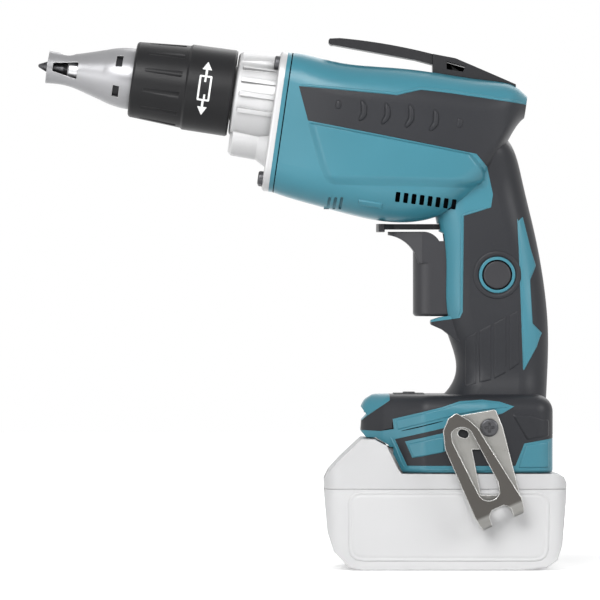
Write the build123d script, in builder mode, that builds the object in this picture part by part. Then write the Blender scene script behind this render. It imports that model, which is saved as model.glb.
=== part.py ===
from build123d import *
import math
import os

# Drywall screwdriver with its sliding battery, as an assembly of separate pieces.
# Millimetres and degrees. X points to the tool's rear, Z up, and the nose looks to -X.
# The origin is the middle of the battery's flat base, and Y = 0 is the mid-plane.
# Stations are distances along the barrel, forward from the housing's front seam.
# Heights are square to the barrel, up from the spindle's axis.

# Frame of the barrel
barrel_tilt = 8.2
seam_x = -75.7
seam_z = 223.8
gear_centres = 20.0

# Clearances
running_gap = 0.05
press_gap = 0.02
slide_gap = 0.3
loose_gap = 0.5
seat_gap = 0.1

# Housing walls and the rubber skin that is moulded over them
wall = 3.2
skin = 1.4
rib_thickness = 2.5

# Head of the housing, as rounded sections square to the barrel
head_width = 58.0
seam_width = 50.0
seam_top = 22.9
seam_bottom = -44.0
seam_corner = 14.0
head_top = 23.4
head_bottom = -50.0
head_length = 114.0

# Handle, as rounded sections that lie flat
handle_width = 34.0
handle_top_z = 206.0
handle_foot_z = 74.0

# Foot of the housing, which holds the battery
foot_width = 73.0
foot_top_z = 83.3
foot_floor_z = 46.3
foot_rear_x = 51.2
foot_front_x = -40.1

# Plate and gear case in front of the seam
bearing_box_thickness = 2.3
flange_thickness = 3.4
case_radius = 21.8
case_nose_station = 25.4
case_wall = 2.6
neck_radius = 13.0
neck_end = 47.0
case_screw_side = 16.5
case_screw_top = 17.0
case_screw_bottom = -38.6

# Gears
module_size = 0.8
pinion_teeth = 9
gear_teeth = 41
profile_shift = 0.5
pressure_angle = 20.0
backlash = 0.12
gear_face = 7.0
gear_station = 8.0

# Motor
shaft_radius = 4.0
shaft_nose_radius = 2.0
front_bearing_radius = 11.0
front_bearing_width = 7.0
rear_bearing_radius = 7.5
rear_bearing_bore = 3.0
rear_bearing_width = 5.0
rear_bearing_station = -74.0
stator_radius = 23.0
stator_bore = 13.1
stator_front = -40.0
stator_rear = -58.0
coil_overhang = 3.0
stator_teeth = 6
magnet_radius = 12.5
magnet_thickness = 1.6
magnet_count = 4
fan_radius = 21.0
fan_front = -24.0
fan_rear = -33.0
fan_blades = 11

# Spindle, clutch and bit
spindle_radius = 6.0
spindle_tail_radius = 4.0
spindle_push = 2.5
clutch_radius = 11.0
clutch_tooth = 1.2
clutch_teeth = 3
hex_size = 6.35
holder_radius = 5.25
holder_end = 105.9
holder_start = 57.0
bit_tip = 120.2
bit_radius = 2.75

# Depth sleeve, its carrier ring and the nose
sleeve_rear = 26.1
sleeve_step = 48.4
sleeve_front = 74.5
sleeve_rear_radius = 20.8
sleeve_step_radius = 19.9
sleeve_front_radius = 18.2
core_radius = 17.0
ring_radius = 15.0
ring_wall = 1.3
nose_radius = 14.75
nose_front = 115.7
nose_rear = 71.0
nose_wall = 2.0
depth_travel = 2.0

# Trigger, lever and lock button
trigger_travel = 6.5
trigger_width = 22.0
trigger_top_z = 161.4
trigger_bottom_z = 119.6
trigger_face_x = -14.9
handle_front_x = -1.9
switch_width = 19.0
lock_radius = 6.6
lock_x = 25.0
lock_z = 140.4
lock_travel = 2.5
lever_thickness = 2.6
lever_top_z = 164.8
lever_pivot_x = 4.0
lever_swing = 8.0

# Battery
battery_length = 115.4
battery_width = 72.0
battery_seam_z = 38.6
battery_top_z = 45.9
battery_wall = 2.0
cell_radius = 9.1
cell_length = 65.0
cell_pitch = 18.6
tower_half_width = 23.0
rail_half_width = 27.0
tower_rear_x = 37.0
tower_front_x = -30.0
tower_top_z = 58.0

# Hooks
hook_strip = 1.6
hook_gap = 11.6

# Screws
screw_radius = 1.9
screw_head_radius = 3.4
screw_head_height = 2.4
boss_radius = 4.0

forward = Vector(-math.cos(math.radians(barrel_tilt)), 0, math.sin(math.radians(barrel_tilt)))
upward = Vector(math.sin(math.radians(barrel_tilt)), 0, math.cos(math.radians(barrel_tilt)))
seam_centre = Vector(seam_x, 0, seam_z)
motor_height = -gear_centres


def on_barrel(station, height=0.0):
    return seam_centre + forward * station + upward * height


# A plane square to the barrel: its x points to the tool's left, its y up and its z forward
def cross_plane(station, height=0.0):
    return Plane(origin=on_barrel(station, height), x_dir=(0, -1, 0), z_dir=forward)


# A plane along the mid-plane: its x runs forward along the barrel and its y is the height
def profile_plane(height=0.0):
    return Plane(origin=on_barrel(0, height), x_dir=forward, z_dir=(0, 1, 0))


os.makedirs("parts", exist_ok=True)

barrel_axis = Axis(on_barrel(0), forward)
motor_axis = Axis(on_barrel(0, motor_height), forward)


# A tube or rod on an axis along the barrel
def turned(name, height, front, rear, outer, inner=0.0):
    with BuildPart() as piece:
        with BuildSketch(cross_plane(rear, height)):
            Circle(outer)
            if inner > 0:
                Circle(inner, mode=Mode.SUBTRACT)
        extrude(amount=front - rear)
    piece.part.label = name
    return piece.part


# A coil spring with open ends, along the z of its plane
def coil_spring(plane, radius, wire, length, turns):
    pitch = (length - 2 * wire) / turns
    with BuildPart() as spring:
        with BuildLine() as path:
            Helix(pitch=pitch, height=length - 2 * wire, radius=radius)
        with BuildSketch(Plane(origin=path.line @ 0, z_dir=path.line % 0)):
            Circle(wire)
        sweep(is_frenet=True)
    return spring.part.moved(plane.offset(wire).location)


# Outline of the flange that the housing, the plate and the gear case share
def flange_sketch():
    with Locations((0, (seam_top + seam_bottom) / 2)):
        RectangleRounded(seam_width, seam_top - seam_bottom, seam_corner)


case_screw_places = [
    (side, height)
    for side in (-case_screw_side, case_screw_side)
    for height in (case_screw_top, case_screw_bottom)
]

# Sections of the head: station, top, bottom, half width, corner radius
head_sections = [
    (0, seam_top, seam_bottom, seam_width / 2, seam_corner),
    (-9, head_top - 0.6, seam_bottom - 1.7, head_width / 2 - 2.5, 15),
    (-22, head_top - 1.8, head_bottom + 2.6, head_width / 2 - 0.8, 16),
    (-45, head_top - 0.9, head_bottom, head_width / 2, 17),
    (-75, head_top - 0.2, head_bottom + 3.5, head_width / 2 - 1.5, 17),
    (-97, head_top, head_bottom + 22, head_width / 2 - 5.5, 15),
    (-107, head_top - 0.8, -6, head_width / 2 - 10, 11),
    (-head_length, head_top - 5, 8, head_width / 2 - 19, 4.9),
]


def head_form(inset):
    with BuildPart() as form:
        for station, top, bottom, half_width, corner in head_sections:
            drawn_in = station * (1 - inset / head_length)
            with BuildSketch(cross_plane(drawn_in)):
                with Locations((0, (top + bottom) / 2)):
                    width = 2 * (half_width - inset)
                    RectangleRounded(width, top - bottom - 2 * inset, corner - inset)
        loft()
    return form.part


# Sections of the handle: height above the base, front, back, half width, corner radius
handle_sections = [
    (handle_top_z, -8, 29.5, handle_width / 2 + 1, 13),
    (190, -8, 36.4, handle_width / 2 + 1.5, 14),
    (168, -4, 41.6, handle_width / 2 + 0.5, 14),
    (148, handle_front_x, 45.9, handle_width / 2, 14),
    (128, handle_front_x, 48.8, handle_width / 2, 14),
    (108, 3.2, 49.9, handle_width / 2, 14),
    (98, 5.8, 49.7, handle_width / 2 - 0.5, 14),
    (88, 3.6, 49.2, handle_width / 2 + 1, 14),
    (handle_foot_z, -7, 47, handle_width / 2 + 9, 14),
]


def handle_form(inset):
    with BuildPart() as form:
        for height, front, back, half_width, corner in handle_sections:
            with BuildSketch(Plane.XY.offset(height)):
                with Locations(((front + back) / 2, 0)):
                    length = back - front - 2 * inset
                    RectangleRounded(length, 2 * (half_width - inset), corner - inset)
        loft()
    return form.part


# The small shelf under the trigger that keeps the finger from slipping down
def shelf_form():
    with BuildPart() as form:
        with BuildSketch(Plane.XZ):
            with BuildLine():
                Polyline((12, 122.4), (-1.9, 120.2), (-6.6, 118.8), (-6.4, 116.6), (-1, 114.2), (12, 104))
                Line((12, 104), (12, 122.4))
            make_face()
        extrude(amount=handle_width / 2 - 4, both=True)
        front_edges = form.edges().filter_by(Axis.Y).sort_by(Axis.X)[:2]
        fillet(front_edges, 0.9)
    return form.part


# The foot: a plan shape with a rounded top rim, cut to the side outline with its lamp snout
def foot_form(inset):
    half = foot_width / 2
    with BuildPart() as form:
        with BuildSketch(Plane.XY.offset(foot_floor_z + inset)):
            with BuildLine():
                Polyline(
                    (foot_rear_x, -half + 4),
                    (20, -half),
                    (-10, -half + 0.5),
                    (-30, -half + 12),
                    (foot_front_x, -half + 22),
                    (foot_front_x, half - 22),
                    (-30, half - 12),
                    (-10, half - 0.5),
                    (20, half),
                    (foot_rear_x, half - 4),
                    close=True,
                )
            plan = make_face()
            fillet(plan.vertices(), 9)
            if inset > 0:
                offset(amount=-inset, kind=Kind.INTERSECTION)
        extrude(amount=foot_top_z - foot_floor_z - 2 * inset)
        fillet(form.faces().sort_by(Axis.Z)[-1].edges(), 8 - inset)
        if inset == 0:
            fillet(form.faces().sort_by(Axis.Z)[0].edges(), 1.5)
        with BuildSketch(Plane.XZ):
            with BuildLine():
                Polyline(
                    (foot_front_x - 1, 79),
                    (-32.2, foot_top_z + 1),
                    (foot_rear_x + 1, foot_top_z + 1),
                    (foot_rear_x + 1, foot_floor_z - 1),
                    (-19.7, foot_floor_z - 1),
                    (-26.9, 59.3),
                    (-33.1, 62.9),
                    (foot_front_x + 2.6, 62.9),
                    (foot_front_x, 66),
                    (foot_front_x + 0.4, 71),
                    (-37.2, 73.6),
                    close=True,
                )
            make_face()
            if inset > 0:
                offset(amount=-inset, kind=Kind.INTERSECTION)
        extrude(amount=half + 1, both=True, mode=Mode.INTERSECT)
    return form.part


# The left half of the whole casing's form, drawn in by a wall or a skin
def left_body(inset):
    pieces = [head_form(inset), handle_form(inset), foot_form(inset)]
    if inset == 0:
        pieces.append(shelf_form())
    with BuildPart() as form:
        for piece in pieces:
            add(split(piece, bisect_by=Plane.XZ, keep=Keep.TOP, mode=Mode.PRIVATE))
    return form.part


outer_body = left_body(0)
skin_body = left_body(skin)
hollow_body = left_body(wall)

# The rubber skin in side view: a pad on the head, the handle and the shoulders of the foot
with BuildPart() as grip_zone:
    with BuildSketch(Plane.XZ):
        with BuildLine():
            Polyline(
                (-69.6, 230.2),
                (-23, 225.8),
                (-11.5, 228.4),
                (2.9, 226.8),
                (26.9, 223.4),
                (60, 219),
                (60, 62.7),
                (50.9, 62.7),
                (37.4, 60.3),
                (33.1, 49.7),
                (-18.2, 49.7),
                (-24, 62.2),
                (-1.9, 67.4),
                (26.9, 74.6),
                (32.6, 77.9),
                (25.4, 80.2),
                (17.3, 81.1),
                (6.7, 80.4),
                (-1.9, 77.5),
                (-25, 71.8),
                (-24.5, 67),
                (-30.7, 66),
                (-45, 66.5),
                (-45, 71),
                (-39.8, 70.8),
                (-37, 73.2),
                (-31.2, 77.3),
                (-26.4, 80.6),
                (-26.4, 90),
                (-12, 90),
                (-12, 117.1),
                (7.2, 119.8),
                (8.6, 122.6),
                (9.1, 168.7),
                (22.1, 172.6),
                (23, 178.8),
                (20.2, 191.8),
                (14.9, 198),
                (2.9, 200.4),
                (-65.3, 213.8),
                close=True,
            )
        make_face()
        with BuildLine():
            Polyline(
                (34.6, 167.3),
                (35.5, 147.6),
                (37.4, 94.8),
                (46.6, 112.6),
                (41.8, 117.4),
                (40.8, 138),
                (43.7, 144.7),
                close=True,
            )
        make_face(mode=Mode.SUBTRACT)
        with BuildLine():
            Polyline((-19.2, 61.2), (6, 66.9), (6, 58), (-15.8, 53.5), close=True)
        make_face(mode=Mode.SUBTRACT)
    extrude(amount=head_width)

# Places of the screws that join the housing halves, in side view
housing_screw_places = [
    (-57.9, 235.4),
    (16.8, 220.6),
    (-64.7, 181.3),
    (12.0, 177.0),
    (38.0, 104.0),
    (-30.0, 69.0),
    (44.5, 60.0),
]
housing_screw_seat = 8.0
housing_screw_length = 18.0

vent_count = 8
vent_pitch = 3.84
vent_first_x = -22.6
vent_first_z = 177.4
vent_fall = 0.48
vent_width = 2.2
vent_height = 4.8
louvre_count = 3
louvre_first_x = -55.4
louvre_pitch = 2.9
louvre_z = 174.6

# Ribs inside the halves that hold the stator and the rear bearing
stator_rib_stations = (stator_front - 2, stator_rear + 4)
cable_way = 7.0


# A slab across the hollow of the head, open round the motor and above it for the wires
def motor_rib(station, thickness, hole_radius):
    with BuildPart() as rib:
        with BuildSketch(cross_plane(station, motor_height)):
            Rectangle(head_width * 2, head_width * 2)
            Circle(hole_radius, mode=Mode.SUBTRACT)
            with Locations((0, gear_centres + head_top / 2 + cable_way / 2)):
                Rectangle(head_width / 2, head_top, mode=Mode.SUBTRACT)
        extrude(amount=-thickness)
        add(hollow_body, mode=Mode.INTERSECT)
    return rib.part


motor_ribs = [
    motor_rib(station, rib_thickness, stator_radius + seat_gap) for station in stator_rib_stations
]
rear_bearing_front = rear_bearing_station + rear_bearing_width
motor_ribs.append(motor_rib(rear_bearing_front, rear_bearing_width, rear_bearing_radius + running_gap))

# Bosses inside the halves for the housing screws and the gear case screws
case_screw_depth = 10.0
with BuildPart() as bosses:
    with BuildSketch(Plane.XZ):
        with Locations(*housing_screw_places):
            Circle(boss_radius)
    extrude(amount=head_width)
    for side, height in case_screw_places:
        with BuildSketch(cross_plane(0, height)):
            with Locations((side, 0)):
                Circle(boss_radius)
        extrude(amount=-case_screw_depth - 2)
    add(hollow_body, mode=Mode.INTERSECT)

# Hollow for the battery's tower in the foot, with the floor left as two rails
tower_gap = loose_gap
rail_lip_z = foot_floor_z + wall
with BuildPart() as tower_way:
    with BuildSketch(Plane.XZ):
        with BuildLine():
            Polyline(
                (foot_front_x - 5, foot_floor_z - 1),
                (tower_rear_x + tower_gap, foot_floor_z - 1),
                (tower_rear_x + tower_gap, tower_top_z + tower_gap),
                (foot_front_x - 5, tower_top_z + tower_gap),
                close=True,
            )
        make_face()
    extrude(amount=tower_half_width + tower_gap, both=True)
    with BuildSketch(Plane.XZ):
        with BuildLine():
            Polyline(
                (foot_front_x - 5, rail_lip_z),
                (tower_rear_x + tower_gap, rail_lip_z),
                (tower_rear_x + tower_gap, tower_top_z + tower_gap),
                (foot_front_x - 5, tower_top_z + tower_gap),
                close=True,
            )
        make_face()
    extrude(amount=rail_half_width + tower_gap, both=True)

# Shelves in the handle for the lever's pin and the switch, and ledges in the foot for the tray
lever_bottom_z = lever_top_z - lever_thickness
pin_radius = 1.55
switch_front_x = 13.4
switch_rear_x = 37.0
switch_top_z = 158.0
switch_bottom_z = 124.0
tray_floor_z = 62.0
ledge_inner = tower_half_width + tower_gap + 0.2
with BuildPart() as shelves:
    for shelf_z in (lever_bottom_z - slide_gap - rib_thickness, lever_top_z + slide_gap):
        with BuildSketch(Plane.XY.offset(shelf_z)):
            with Locations((1, -head_width / 4)):
                Rectangle(20, head_width / 2)
            with Locations((lever_pivot_x, 0)):
                Circle(pin_radius, mode=Mode.SUBTRACT)
        extrude(amount=rib_thickness)
    for shelf_z in (switch_bottom_z - 0.1 - rib_thickness, switch_top_z + 0.1):
        with BuildSketch(Plane.XY.offset(shelf_z)):
            with Locations((27, -head_width / 4)):
                Rectangle(24, head_width / 2)
            with Locations((24, 0)):
                Rectangle(16, 9, mode=Mode.SUBTRACT)
        extrude(amount=rib_thickness)
    with BuildSketch(Plane.XY.offset(tray_floor_z - rib_thickness)):
        with Locations((4, -ledge_inner - foot_width / 4)):
            Rectangle(36, foot_width / 2)
    extrude(amount=rib_thickness - 0.1)
    add(hollow_body, mode=Mode.INTERSECT)

lamp_x = foot_front_x + 1.6
lamp_z = 76.4
lamp_width = 13.0
lamp_height = 3.6
lamp_depth = 4.5
gauge_x = -17.0
gauge_length = 15.0
gauge_width = 26.0
gauge_depth = 1.4
gauge_button_y = -7.0
gauge_button_radius = 3.0
gauge_button_travel = 0.8

# Room behind the hooked top of the trigger, which moves back with it
trigger_way_top = trigger_top_z - 4.2
with BuildPart() as trigger_way:
    with BuildSketch(Plane.XZ):
        with BuildLine():
            Polyline(
                (-12, trigger_way_top - 2),
                (4.6, trigger_way_top - 2),
                (4.6, trigger_way_top + slide_gap),
                (1.7, 159.5),
                (-2.5, 161.4),
                (-2.5, lever_top_z - lever_thickness),
                (-12, lever_top_z - lever_thickness),
                close=True,
            )
        make_face()
    extrude(amount=trigger_width / 2 + slide_gap, both=True)

# Openings that both halves share
with BuildPart() as openings:
    with BuildSketch(Plane.XZ):
        with Locations((4, (trigger_way_top + trigger_bottom_z) / 2)):
            Rectangle(20, trigger_way_top - trigger_bottom_z + 2 * slide_gap)
    extrude(amount=trigger_width / 2 + slide_gap, both=True)
    with BuildSketch(Plane.XZ):
        with Locations((-4, lever_top_z - lever_thickness / 2)):
            Rectangle(26, lever_thickness + 2 * slide_gap)
    extrude(amount=9, both=True)
    with BuildSketch(Plane.XZ):
        for index in range(vent_count):
            centre = (vent_first_x + index * vent_pitch, vent_first_z - index * vent_fall)
            with Locations(Location((centre[0], centre[1], 0), (0, 0, -7))):
                RectangleRounded(vent_width, vent_height, 0.5)
        for index in range(louvre_count):
            with Locations(Location((louvre_first_x + index * louvre_pitch, louvre_z, 0), (0, 0, -12))):
                RectangleRounded(1.3, 5.5, 0.4)
    extrude(amount=head_width, both=True)
    with BuildSketch(Plane.YZ.offset(lamp_x - 6)):
        with Locations((0, lamp_z)):
            RectangleRounded(lamp_width + seat_gap, lamp_height + seat_gap, 1)
    extrude(amount=6 + lamp_depth + seat_gap)
    with BuildSketch(Plane.XY.offset(foot_top_z - gauge_depth - seat_gap)):
        with Locations((gauge_x, 0)):
            RectangleRounded(gauge_length + 2 * seat_gap, gauge_width + 2 * seat_gap, 2)
    extrude(amount=6)

# One half of the casing, the same on both sides but for its screws and the lock button
with BuildPart() as casing_half:
    add(outer_body)
    add(hollow_body, mode=Mode.SUBTRACT)
    add(openings.part, mode=Mode.SUBTRACT)
    for rib in motor_ribs:
        add(rib)
    add(bosses.part)
    add(shelves.part)
    add(tower_way.part, mode=Mode.SUBTRACT)
    add(trigger_way.part, mode=Mode.SUBTRACT)

with BuildPart() as rubber_half:
    add(outer_body)
    add(grip_zone.part, mode=Mode.INTERSECT)
    add(skin_body, mode=Mode.SUBTRACT)
    add(openings.part, mode=Mode.SUBTRACT)
    add(trigger_way.part, mode=Mode.SUBTRACT)

with BuildPart() as skinned_half:
    add(casing_half.part)
    add(rubber_half.part, mode=Mode.SUBTRACT)

# Hole for the lock button in the left half
lock_ring_radius = lock_radius + 2.2
with BuildPart() as lock_way:
    with BuildSketch(Plane.XZ):
        with Locations((lock_x, lock_z)):
            Circle(lock_radius + slide_gap)
    extrude(amount=head_width)
with BuildPart() as lock_ring_way:
    with BuildSketch(Plane.XZ):
        with Locations((lock_x, lock_z)):
            Circle(lock_ring_radius)
    extrude(amount=head_width)

# Screw holes: wells from the right, clear bores, and blind bores in the left half
with BuildPart() as screw_wells:
    with BuildSketch(Plane.XZ.offset(-housing_screw_seat)):
        with Locations(*housing_screw_places):
            Circle(screw_head_radius + slide_gap)
    extrude(amount=-head_width)
    with BuildSketch(Plane.XZ.offset(-housing_screw_seat)):
        with Locations(*housing_screw_places):
            Circle(screw_radius + running_gap)
    extrude(amount=housing_screw_length + slide_gap)
    for side, height in case_screw_places:
        with BuildSketch(cross_plane(0, height)):
            with Locations((side, 0)):
                Circle(screw_radius + running_gap)
        extrude(amount=-case_screw_depth)

clip_screw_x = 20.6
clip_screw_z = 67.9
clip_screw_radius = 2.0
clip_screw_length = 12.0
clip_boss_radius = 4.5
with BuildPart() as housing_left:
    add(skinned_half.part)
    with BuildSketch(Plane.XZ.offset(foot_width / 2 - clip_screw_length + 1)):
        with Locations((clip_screw_x, clip_screw_z)):
            Circle(clip_boss_radius)
    extrude(amount=clip_screw_length - 1 - skin)
    with BuildSketch(Plane.XZ.offset(foot_width / 2 - clip_screw_length + 1)):
        with Locations((clip_screw_x, clip_screw_z)):
            Circle(clip_screw_radius + running_gap)
    extrude(amount=clip_screw_length, mode=Mode.SUBTRACT)
    with BuildSketch(Plane.XY.offset(foot_top_z - gauge_depth - seat_gap)):
        with Locations((gauge_x, gauge_button_y)):
            Circle(gauge_button_radius + slide_gap)
    extrude(amount=-gauge_button_travel - slide_gap, mode=Mode.SUBTRACT)
    add(lock_way.part, mode=Mode.SUBTRACT)
    add(screw_wells.part, mode=Mode.SUBTRACT)
housing_left.part.label = "housing_left"
export_step(housing_left.part, "parts/housing_left.step")

with BuildPart() as housing_right:
    mirror(skinned_half.part, about=Plane.XZ)
    add(screw_wells.part, mode=Mode.SUBTRACT)
housing_right.part.label = "housing_right"
export_step(housing_right.part, "parts/housing_right.step")

with BuildPart() as grip_left:
    add(rubber_half.part)
    add(lock_ring_way.part, mode=Mode.SUBTRACT)
    with BuildSketch(Plane.XZ.offset(foot_width / 2 - clip_screw_length + 1)):
        with Locations((clip_screw_x, clip_screw_z)):
            Circle(clip_screw_radius + running_gap)
    extrude(amount=clip_screw_length, mode=Mode.SUBTRACT)
grip_left.part.label = "grip_left"
export_step(grip_left.part, "parts/grip_left.step")

with BuildPart() as grip_right:
    mirror(rubber_half.part, about=Plane.XZ)
    add(screw_wells.part, mode=Mode.SUBTRACT)
grip_right.part.label = "grip_right"
export_step(grip_right.part, "parts/grip_right.step")

# Plate between the housing and the gear case: it holds the front motor bearing and the spindle's tail
tail_bush_radius = 6.0
tail_boss_radius = 9.0
motor_boss_radius = 14.0
motor_boss_length = 8.0
with BuildPart() as bearing_box:
    with BuildSketch(cross_plane(0)):
        flange_sketch()
    extrude(amount=bearing_box_thickness)
    with BuildSketch(cross_plane(0, motor_height)):
        Circle(motor_boss_radius)
    extrude(amount=-motor_boss_length)
    with BuildSketch(cross_plane(0)):
        Circle(tail_boss_radius)
    extrude(amount=-motor_boss_length)
    with BuildSketch(cross_plane(-motor_boss_length, motor_height)):
        Circle(front_bearing_radius + running_gap)
    extrude(amount=front_bearing_width, mode=Mode.SUBTRACT)
    with BuildSketch(cross_plane(-motor_boss_length, motor_height)):
        Circle(5.2)
    extrude(amount=motor_boss_length + bearing_box_thickness, mode=Mode.SUBTRACT)
    with BuildSketch(cross_plane(bearing_box_thickness)):
        Circle(tail_bush_radius)
    extrude(amount=-8.3, mode=Mode.SUBTRACT)
    with BuildSketch(cross_plane(0)):
        with Locations(*case_screw_places):
            Circle(screw_radius + running_gap)
    extrude(amount=bearing_box_thickness, mode=Mode.SUBTRACT)
bearing_box.part.label = "bearing_box"
export_step(bearing_box.part, "parts/bearing_box.step")

# Gear case: flange, round body over the big gear, bulge over the pinion, neck and ribs
case_back = bearing_box_thickness + flange_thickness
bulge_radius = 9.6
front_bush_radius = 9.8
front_bush_start = 33.0
gear_room_end = 20.6
case_rib_angles = (37, 18, 0, -21)
case_rib_height = 0.9
case_rib_width = 2.2
with BuildPart() as gear_case:
    with BuildSketch(cross_plane(bearing_box_thickness)):
        flange_sketch()
    extrude(amount=flange_thickness)
    fillet(gear_case.faces().sort_by(barrel_axis)[-1].edges(), 1.2)
    with BuildSketch(profile_plane()):
        with BuildLine():
            Polyline(
                (case_back - 2, 0),
                (case_back - 2, case_radius + 0.3),
                (case_nose_station - 3, case_radius - 1.3),
            )
            ThreePointArc(
                (case_nose_station - 3, case_radius - 1.3),
                (case_nose_station - 0.6, case_radius - 2.2),
                (case_nose_station, case_radius - 4.5),
            )
            Polyline(
                (case_nose_station, case_radius - 4.5),
                (case_nose_station, neck_radius),
                (neck_end - 1, neck_radius),
                (neck_end, neck_radius - 1),
                (neck_end, 0),
                (case_back - 2, 0),
            )
        make_face()
    revolve(axis=barrel_axis)
    with BuildSketch(profile_plane(motor_height)):
        with BuildLine():
            Polyline(
                (case_back - 2, 0),
                (case_back - 2, motor_boss_radius),
                (case_back + 5, bulge_radius + 0.4),
                (case_nose_station - 2.6, bulge_radius),
                (case_nose_station - 1, bulge_radius - 1.6),
                (case_nose_station - 1, 0),
                close=True,
            )
        make_face()
    revolve(axis=motor_axis)
    for side in (-1, 1):
        for angle in case_rib_angles:
            rib_angle = math.radians(angle)
            across = Vector(0, -side * math.cos(rib_angle), 0) + upward * math.sin(rib_angle)
            rib_plane = Plane(origin=on_barrel(case_back - 1), x_dir=across, z_dir=forward)
            with BuildSketch(rib_plane):
                with Locations((case_radius - 1.5 + case_rib_height / 2, 0)):
                    Rectangle(3 + case_rib_height, case_rib_width)
            extrude(amount=case_nose_station - case_back - 2)
    with BuildSketch(cross_plane(bearing_box_thickness)):
        Circle(case_radius - case_wall - 1.7)
    extrude(amount=gear_room_end - bearing_box_thickness, mode=Mode.SUBTRACT)
    with BuildSketch(cross_plane(bearing_box_thickness, motor_height)):
        Circle(bulge_radius - case_wall - 1)
    extrude(amount=gear_room_end - bearing_box_thickness, mode=Mode.SUBTRACT)
    with BuildSketch(cross_plane(gear_room_end - 1)):
        Circle(clutch_radius + 0.6)
    extrude(amount=4, mode=Mode.SUBTRACT)
    with BuildSketch(cross_plane(gear_room_end)):
        Circle(front_bush_radius - 1.4)
    extrude(amount=neck_end - gear_room_end, mode=Mode.SUBTRACT)
    with BuildSketch(cross_plane(front_bush_start)):
        Circle(front_bush_radius)
    extrude(amount=neck_end - front_bush_start, mode=Mode.SUBTRACT)
    with BuildSketch(cross_plane(bearing_box_thickness)):
        with Locations(*case_screw_places):
            Circle(screw_radius + running_gap)
    extrude(amount=flange_thickness, mode=Mode.SUBTRACT)
    # Room in front of the flange for the screw heads and the screwdriver
    with BuildSketch(cross_plane(case_back)):
        with Locations(*case_screw_places):
            Circle(screw_head_radius + slide_gap)
    extrude(amount=case_nose_station - case_back, mode=Mode.SUBTRACT)
gear_case.part.label = "gear_case"
export_step(gear_case.part, "parts/gear_case.step")


# A pan head screw along a plane's z, with its seat at the plane and its shank behind it
def pan_screw(plane, shank, length, head, head_height):
    with BuildPart() as screw:
        with BuildSketch(plane):
            Circle(head)
        extrude(amount=head_height)
        round_edges = screw.edges().filter_by(GeomType.CIRCLE)
        fillet(round_edges.sort_by(Axis(plane.origin, plane.z_dir))[-1], head_height * 0.4)
        with BuildSketch(plane):
            Circle(shank)
        extrude(amount=-length)
        chamfer(screw.edges().filter_by(GeomType.CIRCLE).sort_by(Axis(plane.origin, plane.z_dir))[0], 0.5)
        with BuildSketch(plane.offset(head_height)):
            Rectangle(head * 1.1, head * 0.26)
            Rectangle(head * 0.26, head * 1.1)
        extrude(amount=-head_height * 0.6, mode=Mode.SUBTRACT)
    return screw.part


case_screw_length = case_back + case_screw_depth - 1
with BuildPart() as gear_case_screws:
    for side, height in case_screw_places:
        seat = cross_plane(case_back)
        origin = seat.origin + seat.x_dir * side + seat.y_dir * height
        place = Plane(origin=origin, x_dir=seat.x_dir, z_dir=seat.z_dir)
        add(pan_screw(place, screw_radius, case_screw_length, screw_head_radius, screw_head_height))
gear_case_screws.part.label = "gear_case_screws"
export_step(gear_case_screws.part, "parts/gear_case_screws.step")

with BuildPart() as housing_screws:
    for place_x, place_z in housing_screw_places:
        place = Plane(origin=(place_x, housing_screw_seat, place_z), x_dir=(1, 0, 0), z_dir=(0, 1, 0))
        add(pan_screw(place, screw_radius, housing_screw_length, screw_head_radius, screw_head_height))
housing_screws.part.label = "housing_screws"
export_step(housing_screws.part, "parts/housing_screws.step")


# Involute gear outline with a tooth at the top. Its shift moves the teeth outwards
def gear_outline(teeth, shift):
    alpha = math.radians(pressure_angle)
    pitch_radius = module_size * teeth / 2
    base_radius = pitch_radius * math.cos(alpha)
    tip_radius = pitch_radius + module_size * (0.8 + shift)
    root_radius = pitch_radius - module_size * (1.25 - shift)
    flank_start = max(root_radius, base_radius)

    def half_tooth(radius):
        if radius <= base_radius:
            turn = 0.0
        else:
            turn = math.tan(math.acos(base_radius / radius)) - math.acos(base_radius / radius)
        thickness = (math.pi / 2 + 2 * shift * math.tan(alpha)) / teeth
        return thickness + math.tan(alpha) - alpha - turn - backlash / (4 * pitch_radius)

    def at(radius, angle):
        return (radius * math.cos(angle), radius * math.sin(angle))

    step = 2 * math.pi / teeth
    start = math.pi / 2
    middle_radius = (flank_start + tip_radius) / 2
    for index in range(teeth):
        centre = start + index * step
        root_half = half_tooth(flank_start)
        tip_half = half_tooth(tip_radius)
        middle_half = half_tooth(middle_radius)
        next_root = centre + step - root_half
        if root_radius < flank_start - 0.01:
            Line(at(root_radius, centre - root_half), at(flank_start, centre - root_half))
        ThreePointArc(
            at(flank_start, centre - root_half),
            at(middle_radius, centre - middle_half),
            at(tip_radius, centre - tip_half),
        )
        ThreePointArc(
            at(tip_radius, centre - tip_half),
            at(tip_radius, centre),
            at(tip_radius, centre + tip_half),
        )
        ThreePointArc(
            at(tip_radius, centre + tip_half),
            at(middle_radius, centre + middle_half),
            at(flank_start, centre + root_half),
        )
        if root_radius < flank_start - 0.01:
            Line(at(flank_start, centre + root_half), at(root_radius, centre + root_half))
        ThreePointArc(
            at(root_radius, centre + root_half),
            at(root_radius, centre + step / 2),
            at(root_radius, next_root),
        )


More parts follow.
